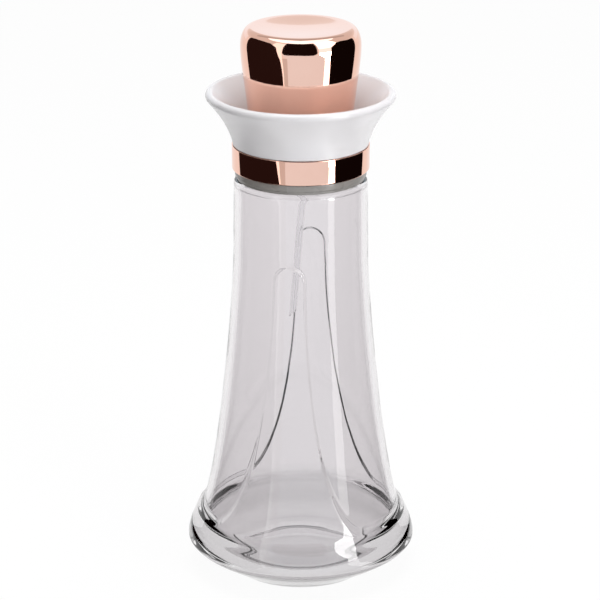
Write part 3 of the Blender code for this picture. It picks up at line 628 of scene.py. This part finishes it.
def pour_spout():
    """The insert: flange, skirt, tray, spout with a drip lip, vent socket and drains."""
    lip_base = SPOUT_HIGH.z - SPOUT_LIP_HEIGHT
    skirt_outer = BORE_RADIUS - CLEARANCE
    skirt_inner = skirt_outer - INSERT_SKIRT_WALL
    skirt_bottom = FLANGE_BOTTOM - INSERT_SKIRT_LENGTH
    tray_wall = TRAY_RADIUS - INSERT_SKIRT_WALL
    lip_outside = (SPOUT_RADIUS + SPOUT_LIP_FLARE, SPOUT_HIGH.z - SPOUT_LIP_EDGE)
    lip_inside = (SPOUT_BORE_RADIUS + SPOUT_LIP_FLARE, SPOUT_HIGH.z)
    flare = sweep((SPOUT_RADIUS, lip_base), lip_outside,
                  SPOUT_LIP_NECK_PULL, SPOUT_LIP_EDGE_PULL, count=10)[::-1]
    throat = sweep((SPOUT_BORE_RADIUS, lip_base), lip_inside,
                   SPOUT_LIP_NECK_PULL, SPOUT_LIP_EDGE_PULL, count=10)
    corners = rounded([(SPOUT_RADIUS, TRAY_TOP), (tray_wall, TRAY_TOP), (tray_wall, FLANGE_TOP),
                       (SPOUT_HIGH.x, FLANGE_TOP), (SPOUT_HIGH.x, FLANGE_BOTTOM),
                       (skirt_outer, FLANGE_BOTTOM), (skirt_outer, skirt_bottom),
                       (skirt_inner, skirt_bottom), (skirt_inner, TRAY_BOTTOM),
                       (SPOUT_RADIUS, TRAY_BOTTOM), (SPOUT_RADIUS, TRAY_BOTTOM - SPOUT_TAIL),
                       (SPOUT_BORE_RADIUS, TRAY_BOTTOM - SPOUT_TAIL)], MOULDED_EDGE, count=3)
    thing = turned("spout_insert", np.vstack([flare, corners, throat]), columns=144)
    place = vent_frame()
    socket_bore = VENT_RADIUS + CLEARANCE
    combine(thing, cylinder(socket_bore + VENT_SOCKET_WALL, TRAY_FLOOR / 2, -VENT_SOCKET_DEPTH,
                            place), "UNION")
    combine(thing, cylinder(socket_bore, -VENT_SEAT_DEPTH, -VENT_SOCKET_DEPTH - TRAY_FLOOR,
                            place), "DIFFERENCE")
    combine(thing, cylinder(VENT_BORE_RADIUS, TRAY_FLOOR * 2, -TRAY_FLOOR, place), "DIFFERENCE")
    for index in range(1, DRAIN_COUNT + 1):
        azimuth = VENT_AZIMUTH + 2 * math.pi * index / (DRAIN_COUNT + 1)
        drain = Matrix.Translation(ring_place(azimuth))
        combine(thing, cylinder(DRAIN_RADIUS, TRAY_FLOOR * 2, -TRAY_FLOOR, drain), "DIFFERENCE")
    thing.data.shade_smooth()
    thing.data.set_sharp_from_angle(angle=SHARP_ANGLE)
    return thing


def vent_tube():
    """The tube that lets air in, with its lower end cut at a slant."""
    top = -VENT_SEAT_DEPTH - CLEARANCE
    profile = [(VENT_RADIUS, top), (VENT_RADIUS, top - VENT_LENGTH),
               (VENT_BORE_RADIUS, top - VENT_LENGTH), (VENT_BORE_RADIUS, top)]
    thing = turned("air_tube", profile, columns=40)
    for vertex in thing.data.vertices:
        if vertex.co.z < top - VENT_LENGTH / 2:
            vertex.co.z += vertex.co.x * math.tan(VENT_TIP_SLANT)
    thing.data.transform(vent_frame())
    return thing


def cap_outline(inset, count):
    """The cap's outside from its face to its rim, drawn in by an inset."""
    shoulder_height = CAP_HIGH.z - CAP_SHOULDER_DROP
    face = (CAP_FACE_RADIUS - inset, CAP_HIGH.z - inset)
    shoulder = (CAP_HIGH.x - inset, shoulder_height)
    edge = sweep(face, shoulder, CAP_EDGE_FACE_PULL, CAP_EDGE_SHOULDER_PULL, count)
    side = sweep(shoulder, (CAP_RIM_RADIUS - inset, CAP_LOW.z),
                 CAP_SIDE_SHOULDER_PULL, CAP_SIDE_RIM_PULL, count)[1:]
    return np.vstack([edge, side])


def cap_shell():
    """The thin mirror cap, with a dished face and a side drawn in to its rim."""
    face = sweep((0.0, CAP_HIGH.z - CAP_DISH), (CAP_FACE_RADIUS, CAP_HIGH.z),
                 CAP_DISH_MIDDLE_PULL, CAP_DISH_EDGE_PULL, count=24)[:-1]
    outside = cap_outline(0.0, count=40)
    inside = cap_outline(CAP_WALL, count=12)[::-1]
    ceiling = [(0.0, CAP_HIGH.z - CAP_WALL)]
    return turned("cap_outer", np.vstack([face, outside, inside, ceiling]), closed=False)


def cap_liner():
    """The core of the cap, with the plug that closes the spout."""
    groove_radius = SEAL_RING_HIGH.x - 2 * SEAL_RING_RADIUS - CLEARANCE
    groove_middle = (SEAL_RING_HIGH.z + SEAL_RING_LOW.z) / 2
    groove_half = SEAL_RING_RADIUS + CLEARANCE
    bottom = LINER_HIGH.z - LINER_THICKNESS
    profile = [(0.0, LINER_HIGH.z), (LINER_HIGH.x, LINER_HIGH.z), (LINER_HIGH.x, bottom),
               (PLUG_RADIUS, bottom), (PLUG_RADIUS, groove_middle + groove_half),
               (groove_radius, groove_middle + groove_half),
               (groove_radius, groove_middle - groove_half),
               (PLUG_RADIUS, groove_middle - groove_half),
               (PLUG_RADIUS, LINER_LOW.z + PLUG_CHAMFER), (PLUG_RADIUS - PLUG_CHAMFER, LINER_LOW.z),
               (PLUG_HOLLOW_RADIUS, LINER_LOW.z), (PLUG_HOLLOW_RADIUS, bottom), (0.0, bottom)]
    return turned("plug_liner", profile, columns=96, closed=False)


def cap_seal_ring():
    """The ring in the groove of the plug."""
    centre = (SEAL_RING_HIGH.x - SEAL_RING_RADIUS, (SEAL_RING_HIGH.z + SEAL_RING_LOW.z) / 2)
    profile = arc(centre, SEAL_RING_RADIUS, 0, -360, count=20)[:-1]
    return turned("plug_seal", profile, columns=96)


# How much light a wall of the glass lets through, by height: painted shade, darkest round the thick
# heel and lightest at the shoulder
GLASS_PAINTED_SHADE_BY_HEIGHT = [(0.0, 0.75), (FLOOR_THICKNESS, 0.74), (0.012, 0.63), (0.019, 0.67),
               (HEM_HEIGHT + 0.002, 0.83), (SHOULDER_HEIGHT, 0.885)]

# Darker and lighter colour of the materials that have a function of their own
GLASS_CLOUD = ((0.985, 0.960, 0.975), (1.0, 0.975, 0.99))
ROSE_GOLD = ((0.88, 0.535, 0.42), (0.905, 0.565, 0.45))
WHITE_GLOSS = ((0.715, 0.702, 0.718), (0.755, 0.742, 0.758))
CLEAR_TUBE = ((0.955, 0.955, 0.96), (0.98, 0.98, 0.985))

# Least and most roughness of the same materials, and how they bend light
GLASS_ROUGHNESS = (0.0, 0.012)
GOLD_ROUGHNESS = (0.025, 0.060)
GLOSS_ROUGHNESS = (0.20, 0.27)
TUBE_ROUGHNESS = (0.02, 0.08)
GLASS_IOR = 1.5
GLOSS_IOR = 1.5
TUBE_IOR = 1.46

# Plain moulded materials: darker colour, lighter colour, least and most roughness
MOULDED = {
    "white_moulded": ((0.78, 0.78, 0.77), (0.83, 0.83, 0.82), 0.25, 0.40),
    # Ring on the glass shoulder: its grey is partly its own colour and partly painted shade for the
    # dark the glass shows under the band
    "grey_ring_painted_shade": ((0.235, 0.222, 0.21), (0.285, 0.27, 0.255), 0.22, 0.36),
    "pale_seal": ((0.75, 0.75, 0.73), (0.82, 0.82, 0.80), 0.40, 0.55),
    "seal_rubber": ((0.26, 0.26, 0.25), (0.32, 0.32, 0.31), 0.45, 0.60),
    "closure_moulded": ((0.76, 0.76, 0.76), (0.81, 0.81, 0.81), 0.18, 0.30),
    "liner_moulded": ((0.78, 0.78, 0.77), (0.83, 0.83, 0.82), 0.30, 0.45),
}

# How deep the waves, peel, ripple and grain of the surfaces are
GLASS_WAVE_DEPTH = 0.00010
PLATING_PEEL_DEPTH = 0.000004
GLOSS_RIPPLE_DEPTH = 0.00001
MOULDED_GRAIN_DEPTH = 0.00002

# The part of a noise's range that is spread over a value or a colour
NOISE_LOW = 0.3
NOISE_HIGH = 0.7

# Colour sockets of a mix node: its two inputs and its result
MIX_FIRST = 6
MIX_SECOND = 7
MIX_RESULT = 2


def new_material(name):
    """A material, its nodes, its links and its shader."""
    material = bpy.data.materials.new(name)
    material.use_nodes = True
    nodes = material.node_tree.nodes
    return material, nodes, material.node_tree.links, nodes["Principled BSDF"]


def noise(nodes, links, scale, detail):
    """A noise that is fixed to the piece."""
    coordinates = nodes.new("ShaderNodeTexCoord")
    texture = nodes.new("ShaderNodeTexNoise")
    texture.inputs["Scale"].default_value = scale
    texture.inputs["Detail"].default_value = detail
    links.new(coordinates.outputs["Object"], texture.inputs["Vector"])
    return texture


def vary(nodes, links, texture, low, high):
    """A value from low to high that follows a noise."""
    spread = nodes.new("ShaderNodeMapRange")
    spread.inputs["From Min"].default_value = NOISE_LOW
    spread.inputs["From Max"].default_value = NOISE_HIGH
    spread.inputs["To Min"].default_value = low
    spread.inputs["To Max"].default_value = high
    links.new(texture.outputs["Fac"], spread.inputs["Value"])
    return spread.outputs["Result"]


def vary_colour(nodes, links, texture, low, high):
    """A colour from low to high that follows a noise."""
    ramp = nodes.new("ShaderNodeValToRGB")
    ramp.color_ramp.elements[0].position = NOISE_LOW
    ramp.color_ramp.elements[1].position = NOISE_HIGH
    ramp.color_ramp.elements[0].color = (*low, 1.0)
    ramp.color_ramp.elements[1].color = (*high, 1.0)
    links.new(texture.outputs["Fac"], ramp.inputs["Fac"])
    return ramp.outputs["Color"]


def add_bump(nodes, links, shader, texture, depth):
    """Let a noise raise and lower a surface by a depth."""
    bump = nodes.new("ShaderNodeBump")
    bump.inputs["Strength"].default_value = 1.0
    bump.inputs["Distance"].default_value = depth
    links.new(texture.outputs["Fac"], bump.inputs["Height"])
    links.new(bump.outputs["Normal"], shader.inputs["Normal"])


def painted_shade_by_height(nodes, links):
    """Painted shade: the grey of the glass at each height."""
    coordinates = nodes.new("ShaderNodeTexCoord")
    height = nodes.new("ShaderNodeSeparateXYZ")
    share = nodes.new("ShaderNodeMapRange")
    share.inputs["From Max"].default_value = SHOULDER_HEIGHT
    ramp = nodes.new("ShaderNodeValToRGB")
    stops = ramp.color_ramp.elements
    for level, grey in GLASS_PAINTED_SHADE_BY_HEIGHT[1:-1]:
        stops.new(level / SHOULDER_HEIGHT)
    for stop, (level, grey) in zip(stops, GLASS_PAINTED_SHADE_BY_HEIGHT):
        stop.color = (grey, grey, grey, 1.0)
    links.new(coordinates.outputs["Object"], height.inputs["Vector"])
    links.new(height.outputs["Z"], share.inputs["Value"])
    links.new(share.outputs["Result"], ramp.inputs["Fac"])
    return ramp.outputs["Color"]


def glass_material():
    """Moulded glass: clear, greyed by painted shade that deepens at the heel, with the soft
    waviness of a hot mould.
    """
    material, nodes, links, shader = new_material("moulded_glass")
    waves = noise(nodes, links, scale=55.0, detail=1.0)
    tint = noise(nodes, links, scale=18.0, detail=1.0)
    mix = nodes.new("ShaderNodeMix")
    mix.data_type = "RGBA"
    mix.blend_type = "MULTIPLY"
    mix.inputs["Factor"].default_value = 1.0
    # Painted shade by height, times the glass's faint random tint
    links.new(painted_shade_by_height(nodes, links), mix.inputs[MIX_FIRST])
    links.new(vary_colour(nodes, links, tint, *GLASS_CLOUD), mix.inputs[MIX_SECOND])
    links.new(mix.outputs[MIX_RESULT], shader.inputs["Base Color"])
    links.new(vary(nodes, links, waves, *GLASS_ROUGHNESS), shader.inputs["Roughness"])
    shader.inputs["Transmission Weight"].default_value = 1.0
    shader.inputs["IOR"].default_value = GLASS_IOR
    add_bump(nodes, links, shader, waves, GLASS_WAVE_DEPTH)
    return material


def rose_gold_material(name, smudge_scale):
    """Plated mirror finish with the faint orange peel of plated plastic."""
    material, nodes, links, shader = new_material(name)
    smudge = noise(nodes, links, smudge_scale, detail=4.0)
    peel = noise(nodes, links, scale=260.0, detail=2.0)
    links.new(vary_colour(nodes, links, smudge, *ROSE_GOLD), shader.inputs["Base Color"])
    links.new(vary(nodes, links, smudge, *GOLD_ROUGHNESS), shader.inputs["Roughness"])
    shader.inputs["Metallic"].default_value = 1.0
    add_bump(nodes, links, shader, peel, PLATING_PEEL_DEPTH)
    return material


def white_gloss_material():
    """Gloss white plastic with a faint moulded ripple."""
    material, nodes, links, shader = new_material("white_gloss")
    cloud = noise(nodes, links, scale=30.0, detail=3.0)
    ripple = noise(nodes, links, scale=160.0, detail=2.0)
    links.new(vary_colour(nodes, links, cloud, *WHITE_GLOSS), shader.inputs["Base Color"])
    links.new(vary(nodes, links, cloud, *GLOSS_ROUGHNESS), shader.inputs["Roughness"])
    shader.inputs["IOR"].default_value = GLOSS_IOR
    add_bump(nodes, links, shader, ripple, GLOSS_RIPPLE_DEPTH)
    return material


def moulded_material(name, low, high, rough_low, rough_high):
    """Plain moulded plastic or silicone with a fine grain."""
    material, nodes, links, shader = new_material(name)
    cloud = noise(nodes, links, scale=60.0, detail=3.0)
    grain = noise(nodes, links, scale=900.0, detail=2.0)
    links.new(vary_colour(nodes, links, cloud, low, high), shader.inputs["Base Color"])
    links.new(vary(nodes, links, cloud, rough_low, rough_high), shader.inputs["Roughness"])
    add_bump(nodes, links, shader, grain, MOULDED_GRAIN_DEPTH)
    return material


def clear_plastic_material():
    """Clear extruded tube with faint smudges."""
    material, nodes, links, shader = new_material("clear_tube")
    cloud = noise(nodes, links, scale=120.0, detail=2.0)
    links.new(vary_colour(nodes, links, cloud, *CLEAR_TUBE), shader.inputs["Base Color"])
    links.new(vary(nodes, links, cloud, *TUBE_ROUGHNESS), shader.inputs["Roughness"])
    shader.inputs["Transmission Weight"].default_value = 1.0
    shader.inputs["IOR"].default_value = TUBE_IOR
    return material


def dress(thing, material, body, node):
    """Give a piece its material and let it ride in its node's place."""
    thing.data.materials.clear()
    thing.data.materials.append(material)
    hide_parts(node)
    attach(thing, body)


def make_pieces():
    cap_gold = rose_gold_material("rose_gold_plating", smudge_scale=45.0)
    band_gold = rose_gold_material("rose_gold_band_plating", smudge_scale=70.0)
    moulded = {name: moulded_material(name, *look) for name, look in MOULDED.items()}
    glass_body = grid_object("glass_body", glass_rings(), closed=True)
    dress(glass_body, glass_material(), "bottle", "glass_bottle")
    # The ring's grey is partly painted shade for the dark under the band
    dress(shoulder_ring(), moulded["grey_ring_painted_shade"], "bottle", "shoulder_ring")
    dress(mouth_seal(), moulded["pale_seal"], "insert", "mouth_seal")
    dress(pour_spout(), moulded["white_moulded"], "insert", "pour_spout")
    dress(vent_tube(), clear_plastic_material(), "insert", "vent_tube")
    dress(screw_closure(), moulded["closure_moulded"], "collar", "screw_closure")
    dress(funnel_collar(), white_gloss_material(), "collar", "funnel_collar")
    dress(neck_band(), band_gold, "collar", "neck_band")
    dress(cap_shell(), cap_gold, "cap", "cap_shell")
    dress(cap_liner(), moulded["liner_moulded"], "cap", "cap_liner")
    dress(cap_seal_ring(), moulded["seal_rubber"], "cap", "cap_seal_ring")


# Studio
FLOOR_SIZE = 6.0
FLOOR_COLOUR = (0.8, 0.8, 0.8, 1.0)
FLOOR_ROUGHNESS = 0.9
FLOOR_GLOW = 0.95
WORLD_STRENGTH = 0.35
SKY_BRIGHT_BELOW = math.sin(math.radians(12))
SKY_DIM_ABOVE = math.sin(math.radians(26))
SKY_DIM = 0.78
CARD_RADIUS = 0.55
CARD_CENTRE_HEIGHT = 0.20
CARD_FLOOR_GAP = 0.004
WARM = (1.0, 0.45, 0.40)
WHITE = (1.0, 1.0, 1.0)
COOL = (1.0, 1.10, 1.18)
CARD_COLUMNS = 24
CARD_ROWS = 36

# The cards: name, strength in gloss, strength through glass, colour in gloss, and
# edges as rows of (elevation, azimuth of one edge, azimuth of the other) in degrees,
# from the lowest up. Azimuths count from the camera's side, positive to its right.
CARDS = [
    ("card_left", 0.02, 0.60, WARM,
     [(-65, -121, -35), (-24, -121, -35), (-8, -121, -40), (25, -121, -49), (33, -108, -60),
      (38, -88, -68)]),
    ("window_left", 1.5, 1.0, WHITE,
     [(-65, -35, -34), (-24, -35, -33), (-8, -40, -35), (25, -49, -35), (33, -60, -35),
      (50, -60, -35)]),
    ("strip_left", 0.70, 0.8, WHITE, [(-65, -34, -25), (-24, -33, -25), (-8, -35, -25)]),
    ("card_front", 0.92, 0.9, COOL, [(-65, -25, 46), (-8, -25, 46), (2, -35, 34)]),
    ("card_over_camera", 0.010, 0.8, WARM,
     [(1, -27, 23), (3, -32, 28), (7, -35, 31), (57, -35, 31)]),
    ("softbox_low", 3.5, 1.0, WHITE, [(-65, 46, 58), (-24, 46, 58), (-13, 46, 57)]),
    ("softbox_middle", 12.0, 1.4, WHITE, [(-13, 46, 57), (-8, 45, 57), (0, 34, 57), (7, 34, 58)]),
    ("softbox_right", 1.4, 1.5, COOL, [(7, 34, 58), (22, 34, 62)]),
    ("softbox_high", 3.0, 1.5, WHITE, [(22, 34, 62), (35, 34, 80), (57, 34, 80)]),
    ("card_right", 0.005, 0.60, WARM,
     [(-65, 58, 122), (-24, 58, 122), (-8, 56, 122), (20, 60, 122), (25, 66, 108), (35, 79, 92)]),
    ("softbox_top", 1.9, 1.0, COOL, [(57, -130, 130), (89, -130, 130)]),
    ("card_top_back", 0.55, 1.0, WHITE, [(42, 130, 230), (85, 130, 230)]),
    ("card_back", 1.05, 1.0, COOL, [(7, 130, 230), (20, 130, 230)]),
]


def seen_directly(nodes, links):
    """1 for camera rays, glossy rays and rays through glass."""
    path = nodes.new("ShaderNodeLightPath")
    first = nodes.new("ShaderNodeMath")
    first.operation = "MAXIMUM"
    second = nodes.new("ShaderNodeMath")
    second.operation = "MAXIMUM"
    links.new(path.outputs["Is Camera Ray"], first.inputs[0])
    links.new(path.outputs["Is Glossy Ray"], first.inputs[1])
    links.new(first.outputs[0], second.inputs[0])
    links.new(path.outputs["Is Transmission Ray"], second.inputs[1])
    return second.outputs[0]


def floor():
    """A floor that looks white where it is seen directly, and is plain and pale otherwise."""
    half = FLOOR_SIZE / 2
    corners = [(-half, -half, 0), (half, -half, 0), (half, half, 0), (-half, half, 0)]
    thing = mesh_object("floor", corners, [(0, 1, 2, 3)])
    material, nodes, links, shader = new_material("pale_floor")
    shader.inputs["Base Color"].default_value = FLOOR_COLOUR
    shader.inputs["Roughness"].default_value = FLOOR_ROUGHNESS
    shader.inputs["Specular IOR Level"].default_value = 0.0
    faint = nodes.new("ShaderNodeBsdfDiffuse")
    rest = 1 - FLOOR_GLOW
    faint.inputs["Color"].default_value = (rest, rest, rest, 1.0)
    glow = nodes.new("ShaderNodeEmission")
    glow.inputs["Strength"].default_value = FLOOR_GLOW
    both = nodes.new("ShaderNodeAddShader")
    pick = nodes.new("ShaderNodeMixShader")
    links.new(faint.outputs[0], both.inputs[0])
    links.new(glow.outputs[0], both.inputs[1])
    links.new(seen_directly(nodes, links), pick.inputs[0])
    links.new(shader.outputs[0], pick.inputs[1])
    links.new(both.outputs[0], pick.inputs[2])
    links.new(pick.outputs[0], nodes["Material Output"].inputs["Surface"])
    thing.data.materials.append(material)


def world():
    """White where it is seen, a little dimmer overhead, and weaker as a light."""
    made = bpy.data.worlds.new("studio")
    made.use_nodes = True
    nodes = made.node_tree.nodes
    links = made.node_tree.links
    dim = nodes["Background"]
    dim.inputs["Color"].default_value = (*WHITE, 1.0)
    dim.inputs["Strength"].default_value = WORLD_STRENGTH
    seen = nodes.new("ShaderNodeBackground")
    seen.inputs["Color"].default_value = (*WHITE, 1.0)
    coordinates = nodes.new("ShaderNodeTexCoord")
    height = nodes.new("ShaderNodeSeparateXYZ")
    fade = nodes.new("ShaderNodeMapRange")
    fade.inputs["From Min"].default_value = SKY_BRIGHT_BELOW
    fade.inputs["From Max"].default_value = SKY_DIM_ABOVE
    fade.inputs["To Min"].default_value = 1.0
    fade.inputs["To Max"].default_value = SKY_DIM
    links.new(coordinates.outputs["Generated"], height.inputs["Vector"])
    links.new(height.outputs["Z"], fade.inputs["Value"])
    links.new(fade.outputs["Result"], seen.inputs["Strength"])
    pick = nodes.new("ShaderNodeMixShader")
    links.new(seen_directly(nodes, links), pick.inputs[0])
    links.new(dim.outputs[0], pick.inputs[1])
    links.new(seen.outputs[0], pick.inputs[2])
    links.new(pick.outputs[0], nodes["World Output"].inputs["Surface"])
    bpy.context.scene.world = made


def card_surface(edges):
    """A card's vertices and faces. Under the horizon it follows the floor inwards."""
    edges = np.array(edges)
    drop = CARD_CENTRE_HEIGHT - CARD_FLOOR_GAP
    vertices = []
    for degrees in np.linspace(edges[0, 0], edges[-1, 0], CARD_ROWS):
        ends = [np.interp(degrees, edges[:, 0], edges[:, side]) for side in (1, 2)]
        azimuths = np.radians(np.linspace(*ends, CARD_COLUMNS)) + CAMERA_AZIMUTH
        elevation = math.radians(degrees)
        distance = min(CARD_RADIUS, drop / max(-math.sin(elevation), TINY))
        across = distance * math.cos(elevation)
        height = CARD_CENTRE_HEIGHT + distance * math.sin(elevation)
        vertices += [point_at(azimuth, across, height) for azimuth in azimuths]
    faces = []
    for row in range(CARD_ROWS - 1):
        for column in range(CARD_COLUMNS - 1):
            below = row * CARD_COLUMNS + column
            above = below + CARD_COLUMNS
            faces.append((below, below + 1, above + 1, above))
    return vertices, faces


def card_material(name, strength, through, colour):
    """Light with one strength in gloss and another through glass."""
    material, nodes, links, shader = new_material(name)
    nodes.remove(shader)
    path = nodes.new("ShaderNodeLightPath")
    level = nodes.new("ShaderNodeMapRange")
    level.inputs["To Min"].default_value = strength
    level.inputs["To Max"].default_value = through
    links.new(path.outputs["Is Transmission Ray"], level.inputs["Value"])
    glow = nodes.new("ShaderNodeEmission")
    tint = nodes.new("ShaderNodeMix")
    tint.data_type = "RGBA"
    tint.inputs[MIX_FIRST].default_value = (*colour, 1.0)
    tint.inputs[MIX_SECOND].default_value = (*WHITE, 1.0)
    links.new(path.outputs["Is Transmission Ray"], tint.inputs["Factor"])
    links.new(tint.outputs[MIX_RESULT], glow.inputs["Color"])
    links.new(level.outputs["Result"], glow.inputs["Strength"])
    links.new(glow.outputs[0], nodes["Material Output"].inputs["Surface"])
    return material


def card(name, strength, through, colour, edges):
    """A curved card round the object, seen only in reflections and through glass."""
    thing = mesh_object(name, *card_surface(edges))
    thing.data.materials.append(card_material(name, strength, through, colour))
    thing.visible_camera = False
    thing.visible_diffuse = False
    thing.visible_shadow = False


def look_from(thing, azimuth, distance, height, target_height):
    """Put a lamp or camera in its place and aim it at a point on the axis."""
    thing.location = point_at(azimuth, distance, height)
    target = Vector((0.0, 0.0, target_height))
    thing.rotation_euler = (target - thing.location).to_track_quat("-Z", "Y").to_euler()


def lamp(name, azimuth, distance, height, size, energy):
    """A soft lamp that isn't seen in gloss or through glass."""
    light = bpy.data.lights.new(name, "AREA")
    light.size = size
    light.energy = energy
    thing = in_scene(name, light)
    azimuth = math.radians(azimuth) + CAMERA_AZIMUTH
    look_from(thing, azimuth, distance, height, CARD_CENTRE_HEIGHT)
    thing.visible_glossy = False
    thing.visible_transmission = False


def studio():
    floor()
    world()
    for values in CARDS:
        card(*values)
    lamp("overhead", azimuth=0.0, distance=0.0, height=1.3, size=0.8, energy=11.0)
    lamp("key", azimuth=38.0, distance=1.3, height=0.42, size=0.6, energy=9.0)


def camera():
    lens = bpy.data.cameras.new("photo_camera")
    lens.lens = CAMERA_LENS
    lens.sensor_width = CAMERA_SENSOR
    lens.sensor_fit = "HORIZONTAL"
    lens.shift_x = CAMERA_SHIFT
    thing = in_scene("photo_camera", lens)
    look_from(thing, CAMERA_AZIMUTH, CAMERA_DISTANCE, CAMERA_HEIGHT, CAMERA_TARGET_HEIGHT)
    bpy.context.scene.camera = thing


camera()
make_pieces()
studio()
bpy.context.scene.view_settings.view_transform = "Standard"
